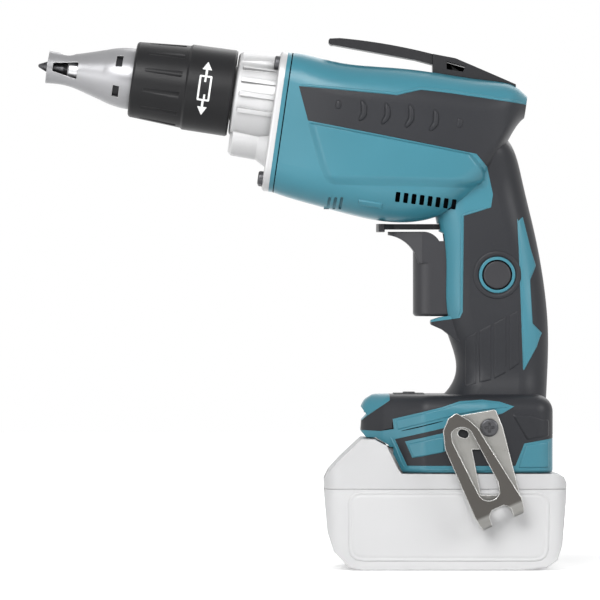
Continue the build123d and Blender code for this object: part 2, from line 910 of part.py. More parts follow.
# Dog teeth of the clutch on a plane, between two radii
def dog_teeth(turn):
    with BuildSketch(mode=Mode.PRIVATE) as dogs:
        for index in range(clutch_teeth):
            with BuildLine():
                middle = math.radians(turn + 360 / clutch_teeth * index)
                half = math.radians(360 / clutch_teeth / 5)
                inner = clutch_radius - 2
                Line(
                    (inner * math.cos(middle - half), inner * math.sin(middle - half)),
                    (clutch_radius * math.cos(middle - half), clutch_radius * math.sin(middle - half)),
                )
                ThreePointArc(
                    (clutch_radius * math.cos(middle - half), clutch_radius * math.sin(middle - half)),
                    (clutch_radius * math.cos(middle), clutch_radius * math.sin(middle)),
                    (clutch_radius * math.cos(middle + half), clutch_radius * math.sin(middle + half)),
                )
                Line(
                    (clutch_radius * math.cos(middle + half), clutch_radius * math.sin(middle + half)),
                    (inner * math.cos(middle + half), inner * math.sin(middle + half)),
                )
                ThreePointArc(
                    (inner * math.cos(middle + half), inner * math.sin(middle + half)),
                    (inner * math.cos(middle), inner * math.sin(middle)),
                    (inner * math.cos(middle - half), inner * math.sin(middle - half)),
                )
            make_face()
    return dogs.sketch


# Big gear with lightening holes, running free on the spindle, with clutch dogs in front
gear_front = gear_station + gear_face
gear_dogs = dog_teeth(0)
spindle_dogs = dog_teeth(180 / clutch_teeth)
gear_hole_count = 6
with BuildPart() as drive_gear:
    with BuildSketch(cross_plane(gear_station)):
        with BuildLine():
            gear_outline(gear_teeth, -profile_shift)
        make_face()
        Circle(spindle_radius + running_gap, mode=Mode.SUBTRACT)
    extrude(amount=gear_face)
    with BuildSketch(cross_plane(gear_station)):
        with PolarLocations(12.2, gear_hole_count):
            Circle(1.9)
    extrude(amount=gear_face, mode=Mode.SUBTRACT)
    with BuildSketch(cross_plane(gear_front)):
        add(gear_dogs)
    extrude(amount=clutch_tooth)
drive_gear.part.label = "drive_gear"
export_step(drive_gear.part, "parts/drive_gear.step")

pinion_face = gear_face + 3
with BuildPart() as pinion:
    with BuildSketch(cross_plane(gear_station - 1.5, motor_height)):
        with BuildLine():
            gear_outline(pinion_teeth, profile_shift)
        make_face()
        Circle(shaft_nose_radius + press_gap, mode=Mode.SUBTRACT)
    extrude(amount=pinion_face)
pinion.part.label = "pinion"
export_step(pinion.part, "parts/pinion.step")

# Bronze bush for the spindle's tail
spindle_tail_end = -3.7
tail_bush = turned(
    "tail_bush",
    0,
    bearing_box_thickness,
    -6,
    tail_bush_radius - running_gap / 2,
    spindle_tail_radius + running_gap,
)
export_step(tail_bush, "parts/tail_bush.step")

# Front bush of the spindle in the neck, and the dust seal before it
front_bush_end = 45.2
spindle_bush = turned(
    "spindle_bush",
    0,
    front_bush_end,
    front_bush_start,
    front_bush_radius - running_gap / 2,
    spindle_radius + running_gap,
)
export_step(spindle_bush, "parts/spindle_bush.step")
dust_seal = turned(
    "dust_seal",
    0,
    neck_end,
    front_bush_end + 0.1,
    front_bush_radius - running_gap / 2,
    spindle_radius + slide_gap,
)
export_step(dust_seal, "parts/dust_seal.step")

# Motor: shaft with its bearing seats, laminated core, magnets and cooling fan
shaft_tail = rear_bearing_station - 1
shaft_nose = gear_station - 1.5 + pinion_face
with BuildPart() as rotor_shaft:
    with BuildSketch(profile_plane(motor_height)):
        with BuildLine():
            Polyline(
                (shaft_tail, 0),
                (shaft_tail, rear_bearing_bore),
                (rear_bearing_station + rear_bearing_width + 1, rear_bearing_bore),
                (rear_bearing_station + rear_bearing_width + 1, shaft_radius + 1),
                (stator_rear, shaft_radius + 1),
                (stator_rear, shaft_radius),
                (bearing_box_thickness, shaft_radius),
                (bearing_box_thickness, shaft_nose_radius),
                (shaft_nose, shaft_nose_radius),
                (shaft_nose, 0),
                close=True,
            )
        make_face()
    revolve(axis=motor_axis)
rotor_shaft.part.label = "rotor_shaft"
export_step(rotor_shaft.part, "parts/rotor_shaft.step")

rotor_inner = magnet_radius - magnet_thickness
with BuildPart() as rotor_core:
    with BuildSketch(cross_plane(stator_rear, motor_height)):
        Circle(rotor_inner)
        Circle(shaft_radius + press_gap, mode=Mode.SUBTRACT)
        with PolarLocations(rotor_inner - 3.4, magnet_count, start_angle=45):
            Circle(1.5, mode=Mode.SUBTRACT)
    extrude(amount=stator_front - stator_rear)
rotor_core.part.label = "rotor_core"
export_step(rotor_core.part, "parts/rotor_core.step")

magnet_gap_angle = 10
with BuildPart() as rotor_magnets:
    with BuildSketch(cross_plane(stator_rear, motor_height)):
        Circle(magnet_radius)
        Circle(rotor_inner + press_gap, mode=Mode.SUBTRACT)
        for index in range(magnet_count):
            with Locations(Location((0, 0, 0), (0, 0, 360 / magnet_count * index))):
                with Locations((magnet_radius, 0)):
                    Rectangle(magnet_radius, magnet_radius * math.radians(magnet_gap_angle), mode=Mode.SUBTRACT)
    extrude(amount=stator_front - stator_rear)
rotor_magnets.part.label = "rotor_magnets"
export_step(rotor_magnets.part, "parts/rotor_magnets.step")

fan_hub_radius = 8.0
fan_disc = 1.3
with BuildSketch() as fan_blade:
    with BuildLine():
        ThreePointArc((0, -0.5), (6.2, 1.4), (12.6, -1.2))
        Line((12.6, -1.2), (12.9, -0.3))
        ThreePointArc((12.9, -0.3), (6.2, 2.4), (0, 0.5))
        Line((0, 0.5), (0, -0.5))
    make_face()
with BuildPart() as fan:
    with BuildSketch(cross_plane(fan_rear, motor_height)):
        Circle(fan_hub_radius)
        Circle(shaft_radius + press_gap, mode=Mode.SUBTRACT)
    extrude(amount=fan_front - fan_rear)
    with BuildSketch(cross_plane(fan_front, motor_height)):
        Circle(fan_radius)
        Circle(fan_hub_radius, mode=Mode.SUBTRACT)
    extrude(amount=-fan_disc)
    with BuildSketch(cross_plane(fan_front - fan_disc, motor_height)):
        with PolarLocations(fan_hub_radius - 0.6, fan_blades):
            add(fan_blade.sketch)
    extrude(amount=fan_rear - fan_front + fan_disc + 1)
fan.part.label = "fan"
export_step(fan.part, "parts/fan.step")


# A ball bearing on the motor's axis, its rings and balls in one piece
def ball_bearing(name, rear, width, outer, bore):
    middle = (outer + bore) / 2
    ring = (outer - bore) * 0.28
    with BuildPart() as bearing:
        with BuildSketch(cross_plane(rear, motor_height)):
            Circle(outer)
            Circle(outer - ring, mode=Mode.SUBTRACT)
            Circle(bore + ring)
            Circle(bore, mode=Mode.SUBTRACT)
        extrude(amount=width)
        with BuildSketch(cross_plane(rear + width * 0.12, motor_height)):
            Circle(middle + ring)
            Circle(middle - ring, mode=Mode.SUBTRACT)
        extrude(amount=width * 0.76)
    bearing.part.label = name
    return bearing.part


motor_bearing_front = ball_bearing(
    "motor_bearing_front",
    -motor_boss_length,
    front_bearing_width - 0.1,
    front_bearing_radius,
    shaft_radius + running_gap,
)
export_step(motor_bearing_front, "parts/motor_bearing_front.step")
motor_bearing_rear = ball_bearing(
    "motor_bearing_rear",
    rear_bearing_station,
    rear_bearing_width,
    rear_bearing_radius,
    rear_bearing_bore + running_gap,
)
export_step(motor_bearing_rear, "parts/motor_bearing_rear.step")

# Stator: yoke with teeth, and a coil round each tooth
yoke_inner = stator_radius - 3.2
tooth_width = 5.0
shoe_width = 10.0
with BuildPart() as stator_core:
    with BuildSketch(cross_plane(stator_rear, motor_height)):
        Circle(stator_radius)
        Circle(yoke_inner, mode=Mode.SUBTRACT)
        with PolarLocations((stator_bore + yoke_inner) / 2 + 0.5, stator_teeth):
            Rectangle(yoke_inner - stator_bore + 1, tooth_width)
        with PolarLocations(stator_bore + 0.9, stator_teeth):
            Rectangle(2.4, shoe_width)
        Circle(stator_bore, mode=Mode.SUBTRACT)
    extrude(amount=stator_front - stator_rear)
stator_core.part.label = "stator_core"
export_step(stator_core.part, "parts/stator_core.step")

coil_inner = stator_bore + 2.4
coil_outer = yoke_inner - 0.8
coil_width = tooth_width + 4.4
with BuildPart() as stator_coils:
    with BuildSketch(cross_plane(stator_rear - coil_overhang, motor_height)):
        with PolarLocations((coil_inner + coil_outer) / 2, stator_teeth):
            RectangleRounded(coil_outer - coil_inner, coil_width, 0.8)
    extrude(amount=stator_front - stator_rear + 2 * coil_overhang)
    with BuildSketch(cross_plane(stator_rear - 0.05, motor_height)):
        with PolarLocations((coil_inner + coil_outer) / 2, stator_teeth):
            Rectangle(coil_outer - coil_inner + 2, tooth_width + 0.1)
    extrude(amount=stator_front - stator_rear + 0.1, mode=Mode.SUBTRACT)
stator_coils.part.label = "stator_coils"
export_step(stator_coils.part, "parts/stator_coils.step")

board_thickness = 1.6
sensor_rear = stator_rear - coil_overhang - 0.2 - board_thickness
with BuildPart() as sensor_board:
    with BuildSketch(cross_plane(sensor_rear, motor_height)):
        Circle(stator_radius - 2)
        Circle(shaft_radius + 3, mode=Mode.SUBTRACT)
        with PolarLocations(stator_radius - 3.6, 3, start_angle=90):
            Circle(1, mode=Mode.SUBTRACT)
    extrude(amount=board_thickness)
    with BuildSketch(cross_plane(sensor_rear, motor_height)):
        with PolarLocations(12.5, 3, start_angle=30):
            Rectangle(3, 4.2)
    extrude(amount=-1.2)
sensor_board.part.label = "sensor_board"
export_step(sensor_board.part, "parts/sensor_board.step")

# Spindle: tail, body with clutch dogs, neck and hexagon socket
spindle_shoulder = 5.2
spindle_flange_rear = gear_front + clutch_tooth + 3.3
spindle_flange_front = gear_room_end + 1.2
spindle_nose = 56.5
holder_bore_gap = 0.1
with BuildPart() as spindle:
    with BuildSketch(profile_plane()):
        with BuildLine():
            Polyline(
                (spindle_tail_end, 0),
                (spindle_tail_end, spindle_tail_radius - 0.4),
                (spindle_tail_end + 0.4, spindle_tail_radius),
                (spindle_shoulder, spindle_tail_radius),
                (spindle_shoulder, spindle_radius),
                (spindle_flange_rear, spindle_radius),
                (spindle_flange_rear, clutch_radius),
                (spindle_flange_front, clutch_radius),
                (spindle_flange_front, spindle_radius),
                (spindle_nose - 5.4, spindle_radius),
                (spindle_nose - 5.4, spindle_radius - 0.7),
                (spindle_nose - 4.2, spindle_radius - 0.7),
                (spindle_nose - 4.2, spindle_radius),
                (spindle_nose - 0.6, spindle_radius),
                (spindle_nose, spindle_radius - 0.6),
                (spindle_nose, 0),
                close=True,
            )
        make_face()
    revolve(axis=barrel_axis)
    with BuildSketch(cross_plane(spindle_flange_rear)):
        add(spindle_dogs)
    extrude(amount=-clutch_tooth)
    with BuildSketch(cross_plane(spindle_nose)):
        RegularPolygon(hex_size / 2 + holder_bore_gap, 6, major_radius=False)
    extrude(amount=-16, mode=Mode.SUBTRACT)
spindle.part.label = "spindle"
export_step(spindle.part, "parts/spindle.step")

# Snap ring in the spindle's groove, which holds the bit holder's shank
with BuildPart() as snap_ring:
    with BuildSketch(cross_plane(spindle_nose - 5.2)):
        Circle(spindle_radius + 0.5)
        Circle(spindle_radius - 0.65, mode=Mode.SUBTRACT)
        with Locations((spindle_radius, 0)):
            Rectangle(4, 3, mode=Mode.SUBTRACT)
    extrude(amount=0.8)
snap_ring.part.label = "snap_ring"
export_step(snap_ring.part, "parts/snap_ring.step")

# Washer that takes the push of the spindle against the gear case
washer_rear = spindle_flange_front + 0.05
washer_radius = clutch_radius - 0.4
thrust_washer = turned(
    "thrust_washer", 0, washer_rear + 1, washer_rear, washer_radius, spindle_radius + 0.15
)
export_step(thrust_washer, "parts/thrust_washer.step")

# Spring that keeps the clutch open until the screw is pressed on
clutch_wire = 0.45
clutch_spring_length = spindle_flange_rear - gear_front - 0.1
clutch_spring = coil_spring(
    cross_plane(gear_front + 0.05), spindle_radius + 1.4, clutch_wire, clutch_spring_length, 2.2
)
clutch_spring.label = "clutch_spring"
export_step(clutch_spring, "parts/clutch_spring.step")

# Magnetic bit holder and the cross bit in its hexagon
holder_shank = 15.0
bit_seat = 93.0
bit_socket = 92.6
bit_hex_end = 108.0
with BuildPart() as bit_holder:
    with BuildSketch(profile_plane()):
        with BuildLine():
            Polyline(
                (holder_start, 0),
                (holder_start, holder_radius - 0.8),
                (holder_start + 0.8, holder_radius),
                (holder_end - 0.7, holder_radius),
                (holder_end, holder_radius - 0.7),
                (holder_end, 0),
                close=True,
            )
        make_face()
    revolve(axis=barrel_axis)
    with BuildSketch(cross_plane(holder_start)):
        RegularPolygon(hex_size / 2, 6, major_radius=False)
    extrude(amount=-holder_shank)
    with BuildSketch(cross_plane(bit_socket)):
        RegularPolygon(hex_size / 2 + holder_bore_gap, 6, major_radius=False)
    extrude(amount=holder_end - bit_socket, mode=Mode.SUBTRACT)
    with BuildSketch(cross_plane(bit_socket)):
        Circle(2.4)
    extrude(amount=-4, mode=Mode.SUBTRACT)
bit_holder.part.label = "bit_holder"
export_step(bit_holder.part, "parts/bit_holder.step")

holder_magnet = turned("holder_magnet", 0, bit_socket, bit_socket - 4, 2.4)
export_step(holder_magnet, "parts/holder_magnet.step")

flute_count = 4
flute_top = bit_radius + 0.4
with BuildPart() as screwdriver_bit:
    with BuildSketch(cross_plane(bit_seat)):
        RegularPolygon(hex_size / 2, 6, major_radius=False)
    extrude(amount=bit_hex_end - bit_seat)
    with BuildSketch(profile_plane()):
        with BuildLine():
            Polyline(
                (bit_hex_end - 1, 0),
                (bit_hex_end - 1, 3.1),
                (bit_hex_end + 1.4, bit_radius),
                (bit_tip - 4.6, bit_radius),
                (bit_tip - 0.5, 0.9),
                (bit_tip, 0.45),
                (bit_tip, 0),
                close=True,
            )
        make_face()
    revolve(axis=barrel_axis)
    for index in range(flute_count):
        turn = math.radians(45 + 360 / flute_count * index)
        across = Vector(0, -math.cos(turn), 0) + upward * math.sin(turn)
        flute_plane = Plane(origin=on_barrel(bit_tip), x_dir=forward, z_dir=forward.cross(across))
        with BuildSketch(flute_plane):
            with BuildLine():
                Polyline((1, 0.55), (-4.6, 1.35), (-6.6, flute_top), (1, flute_top), close=True)
            make_face()
        extrude(amount=0.75, both=True, mode=Mode.SUBTRACT)
screwdriver_bit.part.label = "screwdriver_bit"
export_step(screwdriver_bit.part, "parts/screwdriver_bit.step")

# Depth sleeve: hard core that turns on the neck, with a ribbed rubber grip round it
sleeve_flange_end = sleeve_rear + 2.6
core_rear = sleeve_rear + 0.3
with BuildPart() as depth_sleeve:
    with BuildSketch(profile_plane()):
        with BuildLine():
            Polyline(
                (core_rear, neck_radius + slide_gap),
                (core_rear, core_radius),
                (sleeve_front - 1.2, core_radius),
                (sleeve_front - 1.2, nose_radius + 0.35),
                (sleeve_front - 2.6, nose_radius + 0.35),
                (sleeve_front - 2.6, ring_radius + slide_gap),
                (sleeve_flange_end, ring_radius + slide_gap),
                (sleeve_flange_end, neck_radius + slide_gap),
                close=True,
            )
        make_face()
    revolve(axis=barrel_axis)
depth_sleeve.part.label = "depth_sleeve"
export_step(depth_sleeve.part, "parts/depth_sleeve.step")

groove_count = 12
groove_depth = 0.9
with BuildPart() as sleeve_grip:
    with BuildSketch(profile_plane()):
        with BuildLine():
            Polyline(
                (sleeve_rear, core_radius),
                (sleeve_rear, sleeve_rear_radius - 0.5),
                (sleeve_rear + 0.8, sleeve_rear_radius),
                (sleeve_step - 0.6, sleeve_rear_radius - 0.2),
                (sleeve_step + 0.4, sleeve_step_radius),
            )
            Line((sleeve_step + 0.4, sleeve_step_radius), (sleeve_front - 1.6, sleeve_front_radius))
            ThreePointArc(
                (sleeve_front - 1.6, sleeve_front_radius),
                (sleeve_front - 0.4, sleeve_front_radius - 0.5),
                (sleeve_front, sleeve_front_radius - 1.6),
            )
            Polyline(
                (sleeve_front, sleeve_front_radius - 1.6),
                (sleeve_front, nose_radius + 0.35),
                (sleeve_front - 1.2, nose_radius + 0.35),
                (sleeve_front - 1.2, core_radius),
                (sleeve_rear, core_radius),
            )
        make_face()
    revolve(axis=barrel_axis)
    for index in range(groove_count):
        turn = math.radians(360 / groove_count * (index + 0.5))
        across = Vector(0, -math.cos(turn), 0) + upward * math.sin(turn)
        start = on_barrel(sleeve_step + 2.5) + across * (sleeve_step_radius + 1.2)
        with BuildSketch(Plane(origin=start, x_dir=across.cross(forward), z_dir=forward)):
            Circle(1.2 + groove_depth)
        finish = on_barrel(sleeve_front - 6) + across * (sleeve_front_radius + 2.2)
        with BuildSketch(Plane(origin=finish, x_dir=across.cross(forward), z_dir=forward)):
            Circle(1.2 + groove_depth)
        loft(mode=Mode.SUBTRACT)
sleeve_grip.part.label = "sleeve_grip"
export_step(sleeve_grip.part, "parts/sleeve_grip.step")

# Ring that the sleeve's thread drives along the neck; the nose snaps onto its front
ring_rear = sleeve_flange_end + depth_travel + slide_gap
ring_front = 83.4
ring_spigot = nose_radius - nose_wall - 0.15
with BuildPart() as depth_ring:
    with BuildSketch(profile_plane()):
        with BuildLine():
            Polyline(
                (ring_rear, neck_radius + slide_gap),
                (ring_rear, ring_radius),
                (nose_rear - slide_gap, ring_radius),
                (nose_rear - slide_gap, ring_spigot),
                (ring_front, ring_spigot),
                (ring_front, ring_spigot - ring_wall),
                (nose_rear - 5, ring_spigot - ring_wall),
                (nose_rear - 5, neck_radius + slide_gap),
                close=True,
            )
        make_face()
    revolve(axis=barrel_axis)
depth_ring.part.label = "depth_ring"
export_step(depth_ring.part, "parts/depth_ring.step")

# Die-cast nose: bell shape with a waist, wedge windows that show the bit, and snap windows
snap_station = 81.5
snap_length = 3.1
snap_width = 6.2
snap_angles = (32, -32, 148, -148)
window_rear = 101.0
window_front = 113.0
nose_mouth = 5.4
waist_station = 106.8
with BuildPart() as nose_locator:
    with BuildSketch(profile_plane()):
        with BuildLine():
            Polyline(
                (nose_rear, 0),
                (nose_rear, nose_radius),
                (76, nose_radius - 0.05),
            )
            ThreePointArc((76, nose_radius - 0.05), (82.8, 13.85), (88.6, 12.2))
            Line((88.6, 12.2), (98.7, 9.2))
            ThreePointArc((98.7, 9.2), (103.4, 8.05), (waist_station, 7.6))
            ThreePointArc((waist_station, 7.6), (110.2, 7.55), (nose_front, 7.95))
            Polyline((nose_front, 7.95), (nose_front, 0), (nose_rear, 0))
        make_face()
    revolve(axis=barrel_axis)
    with BuildSketch(profile_plane()):
        with BuildLine():
            Polyline(
                (nose_rear - 1, 0),
                (nose_rear - 1, nose_radius - nose_wall),
                (ring_front + slide_gap, nose_radius - nose_wall),
                (ring_front + slide_gap + 1, 11.6),
                (88.6, 10.6),
                (98.7, 7.5),
                (103, nose_mouth),
                (nose_front + 1, nose_mouth),
                (nose_front + 1, 0),
                close=True,
            )
        make_face()
    revolve(axis=barrel_axis, mode=Mode.SUBTRACT)
    # Scallop on top at the waist
    with BuildSketch(profile_plane()):
        with BuildLine():
            ThreePointArc((101.4, 9.4), (106.4, 6.7), (112.4, 8.6))
            Polyline((112.4, 8.6), (112.4, 12), (101.4, 12), (101.4, 9.4))
        make_face()
    extrude(amount=nose_radius, both=True, mode=Mode.SUBTRACT)
    # Windows on both flanks
    with BuildSketch(profile_plane()):
        with BuildLine():
            Polyline(
                (window_front, 2.1),
                (window_rear, 4.1),
                (window_rear, -4.1),
                (window_front, -1.8),
                close=True,
            )
        window = make_face()
        fillet(window.vertices(), 0.6)
    extrude(amount=nose_radius, both=True, mode=Mode.SUBTRACT)
    for angle in snap_angles:
        turn = math.radians(angle)
        across = Vector(0, -math.cos(turn), 0) + upward * math.sin(turn)
        with BuildSketch(Plane(origin=on_barrel(snap_station), x_dir=forward, z_dir=across)):
            Rectangle(snap_length, snap_width)
        extrude(amount=2 * nose_radius, mode=Mode.SUBTRACT)
nose_locator.part.label = "nose_locator"
export_step(nose_locator.part, "parts/nose_locator.step")

# Trigger: a deep round-fronted paddle, a hooked top that narrows to its tip, and a pocket for the spring
trigger_half = trigger_width / 2
trigger_block_rear = 5.0
trigger_front_radius = 8.5
trigger_hook_tip = -27.0
trigger_hook_radius = 4.5
trigger_pocket = 9.0
with BuildPart() as trigger:
    with BuildSketch(Plane.XY.offset(trigger_bottom_z + 1)):
        with Locations(((trigger_face_x + trigger_block_rear) / 2, 0)):
            paddle = Rectangle(trigger_block_rear - trigger_face_x, trigger_width)
        fillet(paddle.vertices().sort_by(Axis.X)[:2], trigger_front_radius)
    extrude(amount=trigger_way_top - 1.6 - trigger_bottom_z)
    bottom_rim = trigger.faces().sort_by(Axis.Z)[0].edges().sort_by(Axis.X)[:5]
    fillet(bottom_rim, 1.6)
    with BuildSketch(Plane.XZ):
        with BuildLine():
            Polyline(
                (trigger_face_x + 2.4, 146),
                (handle_front_x - 0.6, 146),
                (handle_front_x - 0.6, trigger_way_top - 0.6),
            )
            ThreePointArc(
                (handle_front_x - 0.6, trigger_way_top - 0.6),
                (-5.6, trigger_top_z - 1.6),
                (-10, trigger_top_z - 0.3),
            )
            Polyline(
                (-10, trigger_top_z - 0.3),
                (trigger_hook_tip, trigger_top_z - 0.3),
                (trigger_hook_tip, trigger_top_z - 1.9),
            )
            ThreePointArc(
                (trigger_hook_tip, trigger_top_z - 1.9),
                (-17.8, 155.4),
                (trigger_face_x + 2.4, 146),
            )
        make_face()
    hook_sides = extrude(amount=trigger_half, both=True, mode=Mode.PRIVATE)
    with BuildSketch(Plane.XY.offset(140), mode=Mode.PRIVATE) as hook_plan:
        with BuildLine():
            Polyline(
                (trigger_hook_tip + trigger_hook_radius, -trigger_hook_radius - 2),
                (trigger_face_x + 4, -trigger_half),
                (0, -trigger_half),
                (0, trigger_half),
                (trigger_face_x + 4, trigger_half),
                (trigger_hook_tip + trigger_hook_radius, trigger_hook_radius + 2),
            )
            ThreePointArc(
                (trigger_hook_tip + trigger_hook_radius, trigger_hook_radius + 2),
                (trigger_hook_tip, 0),
                (trigger_hook_tip + trigger_hook_radius, -trigger_hook_radius - 2),
            )
        make_face()
    hook_core = extrude(hook_plan.sketch, amount=30, mode=Mode.PRIVATE)
    add(hook_sides & hook_core)
    with BuildSketch(Plane.YZ.offset(trigger_block_rear)):
        with Locations((0, 140)):
            Rectangle(trigger_width - 5, 24)
    extrude(amount=-trigger_pocket, mode=Mode.SUBTRACT)
trigger.part.label = "trigger"
export_step(trigger.part, "parts/trigger.step")

# Plunger that the trigger pushes into the switch, with its return spring
plunger_z = 140.0
plunger_radius = 2.2
plunger = Plane(origin=(trigger_block_rear - 9, 0, plunger_z), x_dir=(0, 1, 0), z_dir=(1, 0, 0))
with BuildPart() as switch_plunger:
    with BuildSketch(plunger):
        Circle(plunger_radius + 2.4)
    extrude(amount=1.6)
    with BuildSketch(plunger):
        Circle(plunger_radius)
    extrude(amount=switch_front_x + 8 - trigger_block_rear + 9)
switch_plunger.part.label = "switch_plunger"
export_step(switch_plunger.part, "parts/switch_plunger.step")

spring_start = trigger_block_rear - 9 + 1.7
trigger_spring = coil_spring(
    Plane(origin=(spring_start, 0, plunger_z), x_dir=(0, 1, 0), z_dir=(1, 0, 0)),
    plunger_radius + 1.3,
    0.4,
    switch_front_x - 0.1 - spring_start,
    6,
)
trigger_spring.label = "trigger_spring"
export_step(trigger_spring, "parts/trigger_spring.step")

# Switch body with its terminals, and a rib pocket that holds it
with BuildPart() as switch_body:
    with BuildSketch(Plane.XZ):
        with BuildLine():
            Polyline(
                (switch_front_x, switch_bottom_z),
                (switch_front_x, switch_top_z),
                (switch_rear_x - 5, switch_top_z),
                (switch_rear_x, switch_top_z - 9),
                (switch_rear_x, switch_bottom_z + 4),
                (switch_rear_x - 4, switch_bottom_z),
                close=True,
            )
        make_face()
    extrude(amount=switch_width / 2, both=True)
    with BuildSketch(Plane.YZ.offset(switch_front_x)):
        with Locations((0, plunger_z)):
            Circle(plunger_radius + slide_gap)
    extrude(amount=8 + trigger_travel + 1, mode=Mode.SUBTRACT)
    with BuildSketch(Plane.XY.offset(switch_bottom_z)):
        with Locations((20, 0), (30, 0)):
            Rectangle(1, 6)
    extrude(amount=-6)
switch_body.part.label = "switch_body"
export_step(switch_body.part, "parts/switch_body.step")

# Change-over lever: a plate that swings on a pin in the handle, with a thumb bar in front
lever_bar_x = -32.6
lever_bar_half = 13.0
with BuildPart() as reverse_lever:
    with BuildSketch(Plane.XY.offset(lever_bottom_z)):
        with Locations((lever_pivot_x, 0)):
            Circle(4.6)
        with BuildLine():
            Polyline(
                (lever_pivot_x, -3.6),
                (-24, -4.6),
                (lever_bar_x + 3.4, -8.5),
                (lever_bar_x + 3.4, 8.5),
                (-24, 4.6),
                (lever_pivot_x, 3.6),
                close=True,
            )
        make_face()
        with Locations((lever_pivot_x, 0)):
            Circle(pin_radius + running_gap, mode=Mode.SUBTRACT)
    extrude(amount=lever_thickness)
    with BuildSketch(Plane.XY.offset(lever_bottom_z - 1.2)):
        with BuildLine():
            bar_left = (lever_bar_x + 1.2, -lever_bar_half)
            bar_right = (lever_bar_x + 1.2, lever_bar_half)
            ThreePointArc(bar_left, (lever_bar_x, 0), bar_right)
            Line(bar_right, (lever_bar_x + 4.2, lever_bar_half))
            ThreePointArc(
                (lever_bar_x + 4.2, lever_bar_half),
                (lever_bar_x + 3.2, 0),
                (lever_bar_x + 4.2, -lever_bar_half),
            )
            Line((lever_bar_x + 4.2, -lever_bar_half), bar_left)
        bar = make_face()
        fillet(bar.vertices(), 1)
    extrude(amount=lever_thickness + 1.2)
reverse_lever.part.label = "reverse_lever"
export_step(reverse_lever.part, "parts/reverse_lever.step")

# Pin of the lever, held between two ribs of the casing
with BuildPart() as lever_pivot_pin:
    with BuildSketch(Plane.XY.offset(lever_bottom_z - 2)):
        with Locations((lever_pivot_x, 0)):
            Circle(pin_radius)
    extrude(amount=lever_thickness + 4)
lever_pivot_pin.part.label = "lever_pivot_pin"
export_step(lever_pivot_pin.part, "parts/lever_pivot_pin.step")

# Lock button on the left of the handle, its trim ring and its spring
lock_face_y = -handle_width / 2 - 0.5
lock_inner_y = -switch_width / 2 - lock_travel - 0.6
with BuildPart() as lock_button:
    with BuildSketch(Plane.XZ.offset(-lock_inner_y)):
        with Locations((lock_x, lock_z)):
            Circle(lock_radius)
    extrude(amount=lock_inner_y - lock_face_y)
    fillet(lock_button.faces().sort_by(Axis.Y)[0].edges(), 0.6)
lock_button.part.label = "lock_button"
export_step(lock_button.part, "parts/lock_button.step")

with BuildPart() as lock_ring:
    with BuildSketch(Plane.XZ.offset(handle_width / 2 - skin)):
        with Locations((lock_x, lock_z)):
            Circle(lock_ring_radius - 0.1)
            Circle(lock_radius + slide_gap, mode=Mode.SUBTRACT)
    extrude(amount=skin + 0.3)
    fillet(lock_ring.faces().sort_by(Axis.Y)[0].edges(), 0.4)
lock_ring.part.label = "lock_ring"
export_step(lock_ring.part, "parts/lock_ring.step")

# Control board in the foot, potted in a tray
with BuildPart() as controller:
    with BuildSketch(Plane.XY.offset(tray_floor_z)):
        with Locations((1, 0)):
            RectangleRounded(48, 50, 3)
    extrude(amount=9)
    with BuildSketch(Plane.XY.offset(tray_floor_z + 3)):
        with Locations((1, 0)):
            RectangleRounded(45, 47, 2)
    extrude(amount=6, mode=Mode.SUBTRACT)
    with BuildSketch(Plane.XY.offset(tray_floor_z + 3)):
        with Locations((-9, -10), (-9, 0), (-9, 10), (11, -10), (11, 0), (11, 10)):
            Rectangle(7, 7)
    extrude(amount=4)
    with BuildSketch(Plane.XY.offset(tray_floor_z + 3)):
        with Locations((1, 17), (1, -17)):
            Circle(4)
    extrude(amount=5.5)
controller.part.label = "controller"
export_step(controller.part, "parts/controller.step")

# Terminal block over the battery's tower, with two blades that plug into it
blade_thickness = 0.8
blade_side = 13.0
block_floor_z = tower_top_z + tower_gap
blade_front_x = 20.0
blade_rear_x = 34.0
blade_middle_x = (blade_front_x + blade_rear_x) / 2
blade_bottom_z = 51.5
with BuildPart() as terminal_block:
    with BuildSketch(Plane.XY.offset(block_floor_z)):
        with Locations((16, 0)):
            RectangleRounded(44, 44, 2)
    extrude(amount=tray_floor_z - 0.1 - block_floor_z)
    with BuildSketch(Plane.XY.offset(block_floor_z)):
        with Locations((blade_middle_x, blade_side), (blade_middle_x, -blade_side)):
            Rectangle(blade_rear_x - blade_front_x, blade_thickness)
    extrude(amount=tray_floor_z - block_floor_z, mode=Mode.SUBTRACT)
terminal_block.part.label = "terminal_block"
export_step(terminal_block.part, "parts/terminal_block.step")

with BuildPart() as tool_terminals:
    for side in (-1, 1):
        with BuildSketch(Plane.XZ.offset(-side * blade_side - blade_thickness / 2)):
            with BuildLine():
                Polyline(
                    (blade_front_x, tray_floor_z - 0.1),
                    (blade_front_x, blade_bottom_z + 2),
                    (blade_front_x + 2, blade_bottom_z),
                    (blade_rear_x, blade_bottom_z),
                    (blade_rear_x, tray_floor_z - 0.1),
                    close=True,
                )
            make_face()
        extrude(amount=blade_thickness)
tool_terminals.part.label = "tool_terminals"
export_step(tool_terminals.part, "parts/tool_terminals.step")

# Lamp in the snout of the foot
with BuildPart() as lamp_lens:
    with BuildSketch(Plane.YZ.offset(lamp_x)):
        with Locations((0, lamp_z)):
            RectangleRounded(lamp_width, lamp_height, 1)
    extrude(amount=lamp_depth)
lamp_lens.part.label = "lamp_lens"
export_step(lamp_lens.part, "parts/lamp_lens.step")

